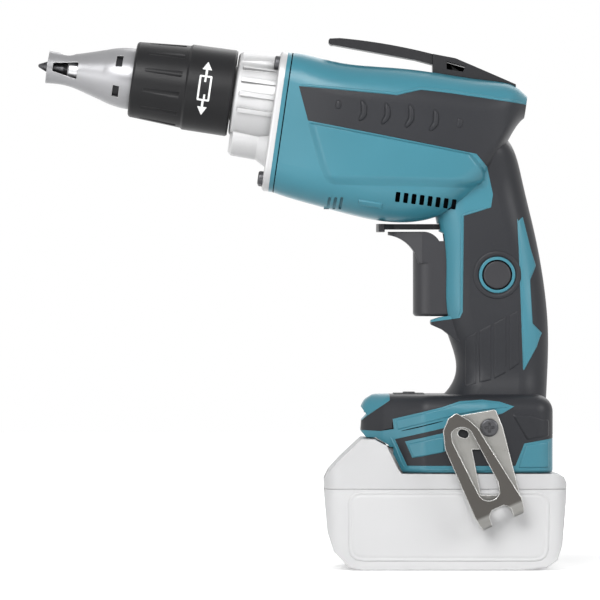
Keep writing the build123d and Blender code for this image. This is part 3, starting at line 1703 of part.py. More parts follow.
# Charge gauge on top of the foot: a dark panel and the button that lights it
gauge_proud = 0.6
with BuildPart() as gauge_panel:
    with BuildSketch(Plane.XY.offset(foot_top_z - gauge_depth)):
        with Locations((gauge_x, 0)):
            RectangleRounded(gauge_length, gauge_width, 2)
    extrude(amount=gauge_depth + gauge_proud)
    fillet(gauge_panel.faces().sort_by(Axis.Z)[-1].edges(), 0.5)
    with BuildSketch(Plane.XY.offset(foot_top_z - 2)):
        with Locations((gauge_x, gauge_button_y)):
            Circle(gauge_button_radius + slide_gap)
    extrude(amount=4, mode=Mode.SUBTRACT)
    with BuildSketch(Plane.XY.offset(foot_top_z + gauge_proud)):
        with Locations((gauge_x, 1), (gauge_x, 4), (gauge_x, 7), (gauge_x, 10)):
            Rectangle(4.5, 1.3)
    extrude(amount=-0.3, mode=Mode.SUBTRACT)
gauge_panel.part.label = "gauge_panel"
export_step(gauge_panel.part, "parts/gauge_panel.step")

with BuildPart() as gauge_button:
    with BuildSketch(Plane.XY.offset(foot_top_z - gauge_depth - seat_gap)):
        with Locations((gauge_x, gauge_button_y)):
            Circle(gauge_button_radius)
    extrude(amount=gauge_depth + gauge_proud + gauge_button_travel)
    fillet(gauge_button.faces().sort_by(Axis.Z)[-1].edges(), 0.5)
gauge_button.part.label = "gauge_button"
export_step(gauge_button.part, "parts/gauge_button.step")

head_whole = head_form(0)

# Hang hook: a plastic shoe on the head with a sprung strip that reaches forward
hook_width = 17.0
shoe_front_x = -5.6
with BuildPart() as hang_hook_base:
    with BuildSketch(Plane.XZ):
        with BuildLine():
            Polyline((shoe_front_x, 236.4), (shoe_front_x, 246.2), (5.3, 244.1))
            ThreePointArc((5.3, 244.1), (22.1, 236.9), (34.2, 231.6))
            Line((34.2, 231.6), (34.2, 226))
            Line((34.2, 226), (shoe_front_x, 231))
            Line((shoe_front_x, 231), (shoe_front_x, 236.4))
        make_face()
    extrude(amount=hook_width / 2 + 1.5, both=True)
    with BuildSketch(Plane.XZ):
        with BuildLine():
            Polyline((1, 242.6), (10, 240.2), (9, 237.6), (1, 238.8), close=True)
        make_face()
    extrude(amount=hook_width, both=True, mode=Mode.SUBTRACT)
    add(head_whole, mode=Mode.SUBTRACT)
hang_hook_base.part.label = "hang_hook_base"

strip_thickness = 2.6
with BuildPart() as hang_hook:
    with BuildSketch(Plane.XZ):
        with BuildLine():
            Polyline((-5.7, 246.2), (-5.7, 241.2), (-14, 243.4), (-53.2, 250.6))
            ThreePointArc((-53.2, 250.6), (-55.4, 251.9), (-54.8, 253.6))
            Line((-54.8, 253.6), (-50, 253.8))
            ThreePointArc((-50, 253.8), (-26, 250.6), (-5.7, 246.2))
        make_face()
    extrude(amount=hook_width / 2, both=True)
hang_hook.part.label = "hang_hook"
export_step(hang_hook.part, "parts/hang_hook.step")
export_step(hang_hook_base.part, "parts/hang_hook_base.step")

# Belt hook: one steel strip bent to a U, screwed to the left of the foot
clip_inner_y = -foot_width / 2 - 0.1
clip_outer_y = clip_inner_y - hook_gap - hook_strip
clip_tilt = 23.5
bend_radius = (hook_gap + 2 * hook_strip) / 2
along = Vector(math.cos(math.radians(clip_tilt)), 0, math.sin(math.radians(clip_tilt)))
down = Vector(math.sin(math.radians(clip_tilt)), 0, -math.cos(math.radians(clip_tilt)))
bend_start = Vector(13.4, 0, 25.6)
bend_width = 24.0
bend_tab = 8.0
bend_end = bend_start + along * bend_width
# The bend in side view: a straight start, an arch cut out of it and two rounded tabs
with BuildPart() as bend_outline:
    with BuildSketch(Plane.XZ.offset(-clip_inner_y - hook_strip)):
        with BuildLine():
            Polyline(
                (bend_start.X - 4, bend_start.Z + 9),
                (bend_start.X, bend_start.Z),
                (16.3, 20.9),
                (19.2, 17.6),
                (22.8, 19.2),
                (20.4, 25.6),
            )
            ThreePointArc((20.4, 25.6), (25.6, 31.4), (30.6, 29.8))
            Polyline(
                (30.6, 29.8),
                (32.6, 24.4),
                (36.8, 26.4),
                (36.6, 31),
                (bend_end.X, bend_end.Z),
                (bend_end.X - 4, bend_end.Z + 9),
                (bend_start.X - 4, bend_start.Z + 9),
            )
        outline = make_face()
        fillet([v for v in outline.vertices() if v.Y < 28 and v.Y != 25.6], 1)
    extrude(amount=4 * bend_radius, both=True)
bend_plane = Plane(
    origin=(bend_start.X, (clip_inner_y + clip_outer_y - hook_strip) / 2, bend_start.Z),
    x_dir=(0, -1, 0),
    z_dir=along,
)
with BuildPart() as hook_bend:
    with BuildSketch(bend_plane):
        Circle(bend_radius)
        Circle(bend_radius - hook_strip, mode=Mode.SUBTRACT)
        with Locations((0, bend_radius * bend_plane.y_dir.dot(down) * -1)):
            Rectangle(3 * bend_radius, 2 * bend_radius, mode=Mode.SUBTRACT)
    extrude(amount=bend_width)
    add(bend_outline.part, mode=Mode.INTERSECT)
with BuildPart() as belt_hook:
    # Inner leg against the foot
    with BuildSketch(Plane.XZ.offset(-clip_inner_y)):
        with BuildLine():
            Polyline(
                (4.6, 73.2),
                (23.5, 76.6),
                (26.9, 68.4),
                (bend_end.X, bend_end.Z),
                (bend_start.X, bend_start.Z),
                (0.6, 58),
                (0.4, 66),
                close=True,
            )
        leg = make_face()
        fillet(leg.vertices().sort_by(Axis.Y)[-2:], 1.5)
        with Locations((clip_screw_x, clip_screw_z)):
            Circle(2.15, mode=Mode.SUBTRACT)
        with Locations((8.3, 65)):
            SlotOverall(5.2, 3.8, rotation=-20, mode=Mode.SUBTRACT)
        with BuildLine():
            Polyline((12.4, 57.6), (22, 57.6), (28.4, 43), (24.6, 36), (16.6, 36), close=True)
        make_face(mode=Mode.SUBTRACT)
    extrude(amount=hook_strip)
    # Outer leg, free at its top
    with BuildSketch(Plane.XZ.offset(-clip_outer_y)):
        with BuildLine():
            Polyline(
                (-1.6, 66.6),
                (0.8, 72.4),
                (4.6, 75.1),
                (10.6, 71.8),
                (14.9, 67.9),
                (bend_end.X, bend_end.Z),
                (bend_start.X, bend_start.Z),
                (-0.6, 57.8),
                close=True,
            )
        leg = make_face()
        fillet(leg.vertices().sort_by(Axis.Y)[-6:], 1.6)
        with BuildLine():
            Line((2.9, 61.2), (15.4, 36.4))
            ThreePointArc((15.4, 36.4), (20.6, 33.7), (25, 37.4))
            Polyline((25, 37.4), (24.4, 42.4), (12.5, 64.6))
            ThreePointArc((12.5, 64.6), (6.9, 68.2), (2.4, 65.4))
            Line((2.4, 65.4), (2.9, 61.2))
        make_face(mode=Mode.SUBTRACT)
    extrude(amount=hook_strip)
    add(hook_bend.part)
belt_hook.part.label = "belt_hook"
export_step(belt_hook.part, "parts/belt_hook.step")

with BuildPart() as belt_hook_screw:
    place = Plane(
        origin=(clip_screw_x, clip_inner_y - hook_strip, clip_screw_z), x_dir=(1, 0, 0), z_dir=(0, -1, 0)
    )
    add(pan_screw(place, clip_screw_radius, clip_screw_length, 4.3, 2.6))
belt_hook_screw.part.label = "belt_hook_screw"
export_step(belt_hook_screw.part, "parts/belt_hook_screw.step")


# Side outline of the battery, drawn in by a wall
def battery_form(inset):
    half = battery_width / 2
    front = -battery_length / 2
    rear = battery_length / 2
    with BuildPart() as form:
        with BuildSketch(Plane.XZ):
            with BuildLine():
                Polyline(
                    (front + 17.8, 62.4),
                    (-33.6, 62.2),
                    (-27.8, 59),
                    (-22.2, 47.6),
                    (-20.6, battery_top_z),
                    (rear - 6.6, battery_top_z),
                    (rear - 1.4, battery_top_z - 1.6),
                    (rear, battery_top_z - 4.6),
                    (rear - 0.4, 32),
                    (rear - 2.2, 12),
                    (rear - 4.6, 5),
                    (rear - 10, 1.2),
                    (rear - 22, 0),
                    (front + 18, 0),
                    (front + 12, 1.6),
                    (front + 4.6, 9),
                    (front + 1.6, 18),
                    (front, 37),
                    (front, 43),
                    (front + 2, 46.8),
                    (front + 7.8, 53),
                    close=True,
                )
            outline = make_face()
            if inset > 0:
                offset(amount=-inset, kind=Kind.INTERSECTION)
        extrude(amount=half - inset, both=True)
        with BuildSketch(Plane.XY.offset(-1)):
            RectangleRounded(battery_length - 2 * inset, battery_width - 2 * inset, 9 - inset)
        extrude(amount=80, mode=Mode.INTERSECT)
        if inset == 0:
            bottom_rim = form.faces().sort_by(Axis.Z)[0].edges()
            fillet(bottom_rim, 1)
    return form.part


battery_outer = battery_form(0)
battery_hollow = battery_form(battery_wall)
battery_screw_x = 50.8
battery_screw_y = 27.0
battery_screw_places = [
    (-battery_screw_x, -battery_screw_y),
    (-battery_screw_x, battery_screw_y),
    (battery_screw_x, -battery_screw_y),
    (battery_screw_x, battery_screw_y),
]
battery_screw_radius = 1.5
battery_head_radius = 2.7
battery_screw_seat = 30.0
battery_screw_length = 12.5
battery_boss_radius = 4.2
with BuildPart() as below_seam:
    with BuildSketch(Plane.XY.offset(-1)):
        Rectangle(2 * battery_length, 2 * battery_width)
    extrude(amount=battery_seam_z - 0.1 + 1)

with BuildPart() as battery_bosses:
    with BuildSketch(Plane.XY.offset(battery_wall - 0.5)):
        with Locations(*battery_screw_places):
            Circle(battery_boss_radius)
    extrude(amount=battery_top_z - battery_wall)
    add(battery_hollow, mode=Mode.INTERSECT)
with BuildPart() as battery_wells:
    with BuildSketch(Plane.XY.offset(-1)):
        with Locations(*battery_screw_places):
            Circle(battery_head_radius + slide_gap)
    extrude(amount=battery_screw_seat + 1)
    with BuildSketch(Plane.XY.offset(battery_screw_seat)):
        with Locations(*battery_screw_places):
            Circle(battery_screw_radius + running_gap)
    extrude(amount=battery_screw_length + slide_gap)

with BuildPart() as battery_case:
    add(battery_outer)
    add(battery_hollow, mode=Mode.SUBTRACT)
    add(battery_bosses.part)
    add(battery_wells.part, mode=Mode.SUBTRACT)
    add(below_seam.part, mode=Mode.INTERSECT)
battery_case.part.label = "battery_case"
export_step(battery_case.part, "parts/battery_case.step")

# Upper cover with the tower and rails that slide into the foot, and the slots for the blades
button_half = 13.0
with BuildPart() as battery_cover:
    add(battery_outer)
    add(battery_hollow, mode=Mode.SUBTRACT)
    add(battery_bosses.part)
    with BuildSketch(Plane.XZ):
        with BuildLine():
            Polyline(
                (tower_front_x, battery_top_z - 1),
                (tower_front_x, tower_top_z),
                (tower_rear_x, tower_top_z),
                (tower_rear_x, battery_top_z - 1),
                close=True,
            )
        make_face()
    extrude(amount=tower_half_width, both=True)
    with BuildSketch(Plane.XZ):
        with BuildLine():
            Polyline(
                (tower_front_x + 10, rail_lip_z + 0.2),
                (tower_front_x + 10, rail_lip_z + 4),
                (tower_rear_x, rail_lip_z + 4),
                (tower_rear_x, rail_lip_z + 0.2),
                close=True,
            )
        make_face()
    extrude(amount=rail_half_width, both=True)
    with BuildSketch(Plane.XY.offset(blade_bottom_z - 1)):
        with Locations((blade_front_x - 1 + 15, blade_side), (blade_front_x - 1 + 15, -blade_side)):
            Rectangle(30, 3.4)
    extrude(amount=20, mode=Mode.SUBTRACT)
    add(battery_wells.part, mode=Mode.SUBTRACT)
    with BuildSketch(Plane.XY.offset(battery_seam_z)):
        Rectangle(2 * battery_length, 2 * battery_width)
    extrude(amount=60, mode=Mode.INTERSECT)
    # Opening for the release button in the sloped front
    with BuildSketch(Plane.XY.offset(battery_seam_z + 3)):
        with Locations((-49, 0)):
            Rectangle(19, 2 * button_half + 2 * slide_gap)
    extrude(amount=40, mode=Mode.SUBTRACT)
battery_cover.part.label = "battery_cover"
export_step(battery_cover.part, "parts/battery_cover.step")

# Ten cells in two rows, and the nickel straps that join them
cell_rows = (battery_wall + cell_radius + 0.4, battery_wall + cell_radius + 0.4 + cell_pitch - 0.2)
cell_places = [(column * cell_pitch, row) for column in range(-2, 3) for row in cell_rows]
with BuildPart() as battery_cells:
    with BuildSketch(Plane.XZ):
        with Locations(*cell_places):
            Circle(cell_radius)
    extrude(amount=cell_length / 2, both=True)
battery_cells.part.label = "battery_cells"
export_step(battery_cells.part, "parts/battery_cells.step")

with BuildPart() as cell_straps:
    for side in (-1, 1):
        for column in range(-2, 3):
            with BuildSketch(Plane.XZ.offset(side * (cell_length / 2 + 0.2) - 0.2)):
                with Locations((column * cell_pitch, (cell_rows[0] + cell_rows[1]) / 2)):
                    Rectangle(7, cell_pitch + 8)
            extrude(amount=0.4)
cell_straps.part.label = "cell_straps"
export_step(cell_straps.part, "parts/cell_straps.step")

# Spring clips in the tower's slots that grip the tool's blades
with BuildPart() as battery_terminals:
    for side in (-1, 1):
        for face in (-1, 1):
            middle = side * blade_side + face * (blade_thickness / 2 + 0.15 + 0.3)
            with BuildSketch(Plane.XZ.offset(middle - 0.3)):
                with Locations(((blade_front_x + blade_rear_x) / 2, blade_bottom_z + 2)):
                    Rectangle(10, 5.4)
            extrude(amount=0.6)
battery_terminals.part.label = "battery_terminals"
export_step(battery_terminals.part, "parts/battery_terminals.step")

# Release button in the front of the battery
button_travel = 4.0
button_floor_z = battery_seam_z + 3 + button_travel + 3
with BuildPart() as battery_button:
    with BuildSketch(Plane.XZ):
        with BuildLine():
            Polyline(
                (-40.4, 61.9),
                (-50, 52.8),
                (-55.6, 46.9),
                (-55.6, button_floor_z - 3),
                (-53.6, button_floor_z - 3),
                (-53.6, 46.6),
                (-48.6, 51.4),
                (-41.4, 58.4),
                (-41.4, button_floor_z - 3),
                (-39.8, button_floor_z - 3),
                (-39.8, 61.9),
                close=True,
            )
        make_face()
    extrude(amount=button_half, both=True)
battery_button.part.label = "battery_button"
export_step(battery_button.part, "parts/battery_button.step")

with BuildPart() as battery_screws:
    for place_x, place_y in battery_screw_places:
        place = Plane(origin=(place_x, place_y, battery_screw_seat), x_dir=(1, 0, 0), z_dir=(0, 0, -1))
        add(pan_screw(place, battery_screw_radius, battery_screw_length, battery_head_radius, 1.8))
battery_screws.part.label = "battery_screws"
export_step(battery_screws.part, "parts/battery_screws.step")
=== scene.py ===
import math

import bmesh
import bpy
import numpy as np
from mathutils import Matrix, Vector


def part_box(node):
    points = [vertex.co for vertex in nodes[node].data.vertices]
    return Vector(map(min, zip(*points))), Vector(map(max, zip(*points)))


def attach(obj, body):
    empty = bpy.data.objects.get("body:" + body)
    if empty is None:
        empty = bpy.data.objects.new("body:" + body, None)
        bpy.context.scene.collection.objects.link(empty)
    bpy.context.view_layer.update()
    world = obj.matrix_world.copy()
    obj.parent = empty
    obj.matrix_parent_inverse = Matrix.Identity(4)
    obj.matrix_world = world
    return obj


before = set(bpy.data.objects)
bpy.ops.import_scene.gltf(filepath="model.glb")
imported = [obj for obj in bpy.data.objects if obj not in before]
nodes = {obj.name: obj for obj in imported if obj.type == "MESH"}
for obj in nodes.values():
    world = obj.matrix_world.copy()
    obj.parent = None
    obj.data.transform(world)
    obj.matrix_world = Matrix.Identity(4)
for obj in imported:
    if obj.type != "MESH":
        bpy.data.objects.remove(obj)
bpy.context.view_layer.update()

print("frame loaded")

mm = 0.001

# Colours in linear light
colour = {
    "teal": (0.040, 0.200, 0.262),
    "rubber": (0.018, 0.019, 0.023),
    "hardBlack": (0.012, 0.012, 0.014),
    # near-black painted shade for gaps, slots and the space behind vents
    "paintedShadow": (0.0025, 0.0025, 0.003),
    "trigger": (0.026, 0.026, 0.030),
    "castAluminium": (0.54, 0.54, 0.545),
    "noseMetal": (0.31, 0.31, 0.32),
    "sleeve": (0.008, 0.008, 0.009),
    "steel": (0.56, 0.56, 0.57),
    "darkSteel": (0.085, 0.085, 0.09),
    "bronze": (0.50, 0.33, 0.16),
    "copper": (0.58, 0.24, 0.10),
    "boardGreen": (0.03, 0.16, 0.08),
    "shell": (0.60, 0.60, 0.605),
    # a darker copy of the shell: painted shade on the battery's upper band
    "shellPaintedShade": (0.56, 0.56, 0.565),
    "cellWrap": (0.04, 0.20, 0.13),
    "ink": (0.85, 0.85, 0.85),
}


# Adds a node to a material's tree and sets its inputs by name
def addNode(tree, kind, **values):
    node = tree.nodes.new(kind)
    for name, value in values.items():
        if name in node.inputs:
            node.inputs[name].default_value = value
        else:
            setattr(node, name, value)
    return node


# Object coordinates, stretched by a mapping node
def objectCoords(tree, scale=(1, 1, 1)):
    coords = tree.nodes.new("ShaderNodeTexCoord")
    mapping = tree.nodes.new("ShaderNodeMapping")
    mapping.inputs["Scale"].default_value = scale
    tree.links.new(coords.outputs["Object"], mapping.inputs["Vector"])
    return mapping.outputs["Vector"]


# Noise of a given grain size in metres, as a value from 0 to 1
def noiseValue(tree, vector, grain, detail=3.0, roughness=0.5):
    noise = tree.nodes.new("ShaderNodeTexNoise")
    noise.inputs["Scale"].default_value = 1 / grain
    noise.inputs["Detail"].default_value = detail
    noise.inputs["Roughness"].default_value = roughness
    tree.links.new(vector, noise.inputs["Vector"])
    return noise.outputs["Fac"]


# A value moved from one range to another
def mapRange(tree, value, fromLow, fromHigh, toLow, toHigh):
    node = tree.nodes.new("ShaderNodeMapRange")
    node.inputs["From Min"].default_value = fromLow
    node.inputs["From Max"].default_value = fromHigh
    node.inputs["To Min"].default_value = toLow
    node.inputs["To Max"].default_value = toHigh
    tree.links.new(value, node.inputs["Value"])
    return node.outputs["Result"]


# Two colours mixed by a value
def mixColours(tree, factor, first, second):
    node = tree.nodes.new("ShaderNodeMix")
    node.data_type = "RGBA"
    tree.links.new(factor, node.inputs["Factor"])
    for socket, value in ((node.inputs[6], first), (node.inputs[7], second)):
        if isinstance(value, bpy.types.NodeSocket):
            tree.links.new(value, socket)
        else:
            socket.default_value = (*value, 1)
    return node.outputs[2]


def darker(rgb, share):
    return tuple(channel * share for channel in rgb)


# A rounded normal near hard edges, and how far it leans from the true one as an edge mask from 0 to 1
def softEdge(tree, radius):
    bevel = addNode(tree, "ShaderNodeBevel", samples=4)
    bevel.inputs["Radius"].default_value = radius
    geometry = tree.nodes.new("ShaderNodeNewGeometry")
    lean = tree.nodes.new("ShaderNodeVectorMath")
    lean.operation = "DOT_PRODUCT"
    tree.links.new(bevel.outputs["Normal"], lean.inputs[0])
    tree.links.new(geometry.outputs["True Normal"], lean.inputs[1])
    return bevel.outputs["Normal"], mapRange(tree, lean.outputs["Value"], 0.99, 0.82, 0, 1)


# A moulded or metal finish: base colour with slow variation and fine speckle, grain as bump,
# roughness that wanders, softened edges, painted shade in corners, and outward edges lighter, partly wear and partly
# a painted highlight
def makeFinish(name, rgb, metallic=0.0, roughness=0.5, grain=0.4 * mm, bump=0.12, variation=0.10,
               speckle=0.06, wearAndHighlight=0.0, wearAndHighlightColour=None, edge=0.35 * mm, stretch=(1, 1, 1), specular=0.5,
               cornerShade=0.0, cornerShadeReach=4 * mm):
    material = bpy.data.materials.new(name)
    material.use_nodes = True
    tree = material.node_tree
    shader = tree.nodes["Principled BSDF"]
    shader.inputs["Metallic"].default_value = metallic
    shader.inputs["Specular IOR Level"].default_value = specular
    coords = objectCoords(tree, stretch)
    slow = noiseValue(tree, coords, 45 * mm, 2)
    fine = noiseValue(tree, coords, grain, 4, 0.6)
    base = mixColours(tree, mapRange(tree, slow, 0.3, 0.7, 0, 1), darker(rgb, 1 - variation), rgb)
    base = mixColours(tree, mapRange(tree, fine, 0.35, 0.75, 0, speckle * 4), base, darker(rgb, 1 - speckle * 2.5))
    if cornerShade > 0:  # painted shade: corners and seams that ambient occlusion finds turn darker
        corner = addNode(tree, "ShaderNodeAmbientOcclusion", samples=6, Distance=cornerShadeReach)
        shaded = mapRange(tree, corner.outputs["AO"], 0.35, 0.85, cornerShade, 0)
        base = mixColours(tree, shaded, base, darker(rgb, 0.12))
    softNormal = None
    if edge > 0:
        softNormal, rim = softEdge(tree, edge)
        # outward edges turn lighter: partly wear, partly a painted highlight
        if wearAndHighlight > 0:
            ragged = mapRange(tree, noiseValue(tree, coords, 3 * mm, 3), 0.35, 0.65, 0.4 * wearAndHighlight, wearAndHighlight)
            amount = addNode(tree, "ShaderNodeMath", operation="MULTIPLY")
            tree.links.new(rim, amount.inputs[0])
            tree.links.new(ragged, amount.inputs[1])
            base = mixColours(tree, amount.outputs[0], base, wearAndHighlightColour or tuple(min(1, c * 1.8 + 0.05) for c in rgb))
    tree.links.new(base, shader.inputs["Base Color"])
    rough = mapRange(tree, slow, 0.3, 0.7, roughness - 0.05, roughness + 0.06)
    tree.links.new(rough, shader.inputs["Roughness"])
    bumpNode = addNode(tree, "ShaderNodeBump", Strength=bump, Distance=0.15 * mm)
    tree.links.new(fine, bumpNode.inputs["Height"])
    if softNormal:
        tree.links.new(softNormal, bumpNode.inputs["Normal"])
    tree.links.new(bumpNode.outputs["Normal"], shader.inputs["Normal"])
    return material


# In the finishes below, the lighter edge colours are partly wear and partly a painted highlight, and the corner
# darkening is painted shade
finish = {
    "tealPlastic": makeFinish("tealPlastic", colour["teal"], roughness=0.34, grain=0.5 * mm, bump=0.10,
                              variation=0.08, wearAndHighlight=0.35, wearAndHighlightColour=(0.16, 0.42, 0.50), specular=0.45, cornerShade=0.35,
                              cornerShadeReach=3 * mm),
    "blackRubber": makeFinish("blackRubber", colour["rubber"], roughness=0.44, grain=0.35 * mm, bump=0.20,
                              variation=0.16, speckle=0.12, wearAndHighlight=0.35, wearAndHighlightColour=(0.060, 0.060, 0.068),
                              edge=0.6 * mm, specular=0.28),
    "hardBlack": makeFinish("hardBlack", colour["hardBlack"], roughness=0.36, grain=0.3 * mm, bump=0.12, wearAndHighlight=0.3,
                            wearAndHighlightColour=(0.10, 0.10, 0.105), specular=0.3),
    # painted shade: near-black sheets and lines where gaps, slots and vents are in shade
    "paintedShadowBlack": makeFinish("paintedShadowBlack", colour["paintedShadow"], roughness=0.8, bump=0.05, edge=0, specular=0.05),
    "sleeveRubber": makeFinish("sleeveRubber", colour["sleeve"], roughness=0.42, grain=0.3 * mm, bump=0.12,
                               edge=0.5 * mm, specular=0.22, wearAndHighlight=0.5, wearAndHighlightColour=(0.045, 0.045, 0.05)),
    "triggerPlastic": makeFinish("triggerPlastic", colour["trigger"], roughness=0.36, grain=0.3 * mm, bump=0.14,
                                 wearAndHighlight=0.5, wearAndHighlightColour=(0.075, 0.075, 0.082), edge=1.0 * mm, specular=0.35),
    "castAluminium": makeFinish("castAluminium", colour["castAluminium"], metallic=0.45, roughness=0.40,
                                grain=0.7 * mm, bump=0.22, variation=0.06, wearAndHighlight=0.6, wearAndHighlightColour=(0.86, 0.86, 0.86),
                                edge=0.7 * mm, cornerShade=0.75, cornerShadeReach=6 * mm),
    "noseMetal": makeFinish("noseMetal", colour["noseMetal"], metallic=0.60, roughness=0.33, grain=0.5 * mm,
                            bump=0.20, variation=0.12, wearAndHighlight=0.6, wearAndHighlightColour=(0.80, 0.80, 0.80), edge=0.5 * mm,
                            cornerShade=0.6, cornerShadeReach=5 * mm),
    "steel": makeFinish("steel", colour["steel"], metallic=1.0, roughness=0.30, grain=0.4 * mm, bump=0.10,
                        stretch=(6, 1, 1)),
    "darkSteel": makeFinish("darkSteel", colour["darkSteel"], metallic=0.9, roughness=0.36, grain=0.4 * mm,
                            bump=0.12),
    "bronze": makeFinish("bronze", colour["bronze"], metallic=1.0, roughness=0.38),
    "copper": makeFinish("copper", colour["copper"], metallic=0.9, roughness=0.34, grain=0.5 * mm, bump=0.3,
                         stretch=(1, 6, 1)),
    "boardGreen": makeFinish("boardGreen", colour["boardGreen"], roughness=0.35, speckle=0.2),
    "shell": makeFinish("shell", colour["shell"], roughness=0.45, grain=0.5 * mm, bump=0.08, variation=0.03,
                        speckle=0.02, edge=0.8 * mm),
    # the shell's darker copy, as painted shade on the battery cover
    "shellPaintedShade": makeFinish("shellPaintedShade", colour["shellPaintedShade"], roughness=0.45, grain=0.5 * mm, bump=0.08,
                            variation=0.03, speckle=0.02, edge=0.8 * mm),
    "cellWrap": makeFinish("cellWrap", colour["cellWrap"], roughness=0.3),
    "ink": makeFinish("ink", colour["ink"], roughness=0.5, variation=0.03, speckle=0.02, edge=0),
}

# Clear lamp lens: see-through plastic whose faint tint varies a little
lens = bpy.data.materials.new("clearLens")
lens.use_nodes = True
lensShader = lens.node_tree.nodes["Principled BSDF"]
lensLook = {"roughness": 0.12, "transmission": 0.6, "ior": 1.49, "grain": 1.5 * mm,
            "tints": ((0.78, 0.84, 0.86), (0.92, 0.96, 0.97))}
lensShader.inputs["Roughness"].default_value = lensLook["roughness"]
lensShader.inputs["Transmission Weight"].default_value = lensLook["transmission"]
lensShader.inputs["IOR"].default_value = lensLook["ior"]
lensCoords = objectCoords(lens.node_tree)
lensTint = noiseValue(lens.node_tree, lensCoords, lensLook["grain"], 1)
lens.node_tree.links.new(mixColours(lens.node_tree, lensTint, *lensLook["tints"]), lensShader.inputs["Base Color"])
finish["clearLens"] = lens

# Belt hook: steel with a pale inner leg and bend, a painted dark reflection on the flat outer face towards -y, and
# painted glints as bright lines along every edge
hookLook = {"steel": (0.30, 0.295, 0.28), "paintedDarkReflection": (0.085, 0.080, 0.074), "paintedEdgeGlint": (0.95, 0.95, 0.93),
            "flatFacing": (-0.96, -0.995), "outerFace": (-0.0445, -0.0475), "edge": 0.75 * mm}
hookFinish = makeFinish("hookSteel", hookLook["steel"], metallic=1.0, roughness=0.30, grain=0.5 * mm, bump=0.10,
                        variation=0.15, stretch=(1, 1, 5), edge=0.5 * mm)
hookTree = hookFinish.node_tree
hookShader = hookTree.nodes["Principled BSDF"]
plainBase = hookShader.inputs["Base Color"].links[0].from_socket
place = hookTree.nodes.new("ShaderNodeSeparateXYZ")
hookTree.links.new(objectCoords(hookTree), place.inputs[0])
facing = hookTree.nodes.new("ShaderNodeSeparateXYZ")
hookTree.links.new(hookTree.nodes.new("ShaderNodeNewGeometry").outputs["True Normal"], facing.inputs[0])
flat = mapRange(hookTree, facing.outputs["Y"], *hookLook["flatFacing"], 0, 1)
outer = mapRange(hookTree, place.outputs["Y"], *hookLook["outerFace"], 0, 1)
# painted reflection: the flat outer face that looks towards -y turns dark
darkReflectionMask = addNode(hookTree, "ShaderNodeMath", operation="MULTIPLY")
hookTree.links.new(flat, darkReflectionMask.inputs[0])
hookTree.links.new(outer, darkReflectionMask.inputs[1])
hookBase = mixColours(hookTree, darkReflectionMask.outputs[0], plainBase, hookLook["paintedDarkReflection"])
# painted glints: bright lines along every edge
edgeGlintMask = softEdge(hookTree, hookLook["edge"])[1]
hookBase = mixColours(hookTree, edgeGlintMask, hookBase, hookLook["paintedEdgeGlint"])
hookTree.links.new(hookBase, hookShader.inputs["Base Color"])
finish["hookSteel"] = hookFinish

nodeFinish = {
    "tealPlastic": ["housing_left", "housing_right", "bearing_box", "lock_ring"],
    "blackRubber": ["grip_left", "grip_right", "dust_seal"],
    "sleeveRubber": ["sleeve_grip"],
    "hardBlack": ["switch_body", "terminal_block", "gauge_panel", "hang_hook", "hang_hook_base", "fan",
                  "depth_sleeve", "depth_ring", "switch_plunger", "reverse_lever"],
    "triggerPlastic": ["trigger", "lock_button", "gauge_button"],
    "castAluminium": ["gear_case"],
    "noseMetal": ["nose_locator"],
    "hookSteel": ["belt_hook"],
    "steel": ["motor_bearing_front", "motor_bearing_rear", "lever_pivot_pin", "tool_terminals",
              "clutch_spring", "trigger_spring", "rotor_shaft", "thrust_washer", "spindle", "cell_straps",
              "battery_terminals", "bit_holder", "rotor_magnets", "holder_magnet"],
    "darkSteel": ["housing_screws", "stator_core", "rotor_core", "pinion", "drive_gear", "snap_ring",
                  "screwdriver_bit", "battery_screws", "gear_case_screws", "belt_hook_screw"],
    "bronze": ["tail_bush", "spindle_bush"],
    "copper": ["stator_coils"],
    "boardGreen": ["sensor_board", "controller"],
    "clearLens": ["lamp_lens"],
    "shell": ["battery_case", "battery_button"],
    # the cover gets the darker copy of the shell, as painted shade
    "shellPaintedShade": ["battery_cover"],
    "cellWrap": ["battery_cells"],
}
for finishName, finishNodes in nodeFinish.items():
    for nodeName in finishNodes:
        shown = nodes[nodeName]
        shown.data.materials.clear()
        shown.data.materials.append(finish[finishName])
print("finishes on the construction pieces")


# The four-cornered faces of a grid of point numbers
def gridQuads(index):
    return np.stack([index[:-1, :-1], index[1:, :-1], index[1:, 1:], index[:-1, 1:]], axis=-1).reshape(-1, 4)


# A grid between two chains of points, at the given shares of the way
def between(first, second, share):
    return first[:, None, :] * (1 - share[None, :, None]) + second[:, None, :] * share[None, :, None]


# Closed sheet between a front grid and a back grid of the same shape
def closedSheet(name, front, back, finishName, sharpAngle=50):
    rows, columns = front.shape[:2]
    points = np.concatenate([front.reshape(-1, 3), back.reshape(-1, 3)])
    index = np.arange(rows * columns).reshape(rows, columns)
    shift = rows * columns
    quads = gridQuads(index)
    rim = np.concatenate([index[0, :], index[1:, -1], index[-1, -2::-1], index[-2:0:-1, 0]])
    after = np.roll(rim, -1)
    sides = np.stack([rim, after, after + shift, rim + shift], axis=-1)
    return meshPiece(name, points, np.concatenate([quads, quads[:, ::-1] + shift, sides]), finishName, sharpAngle)


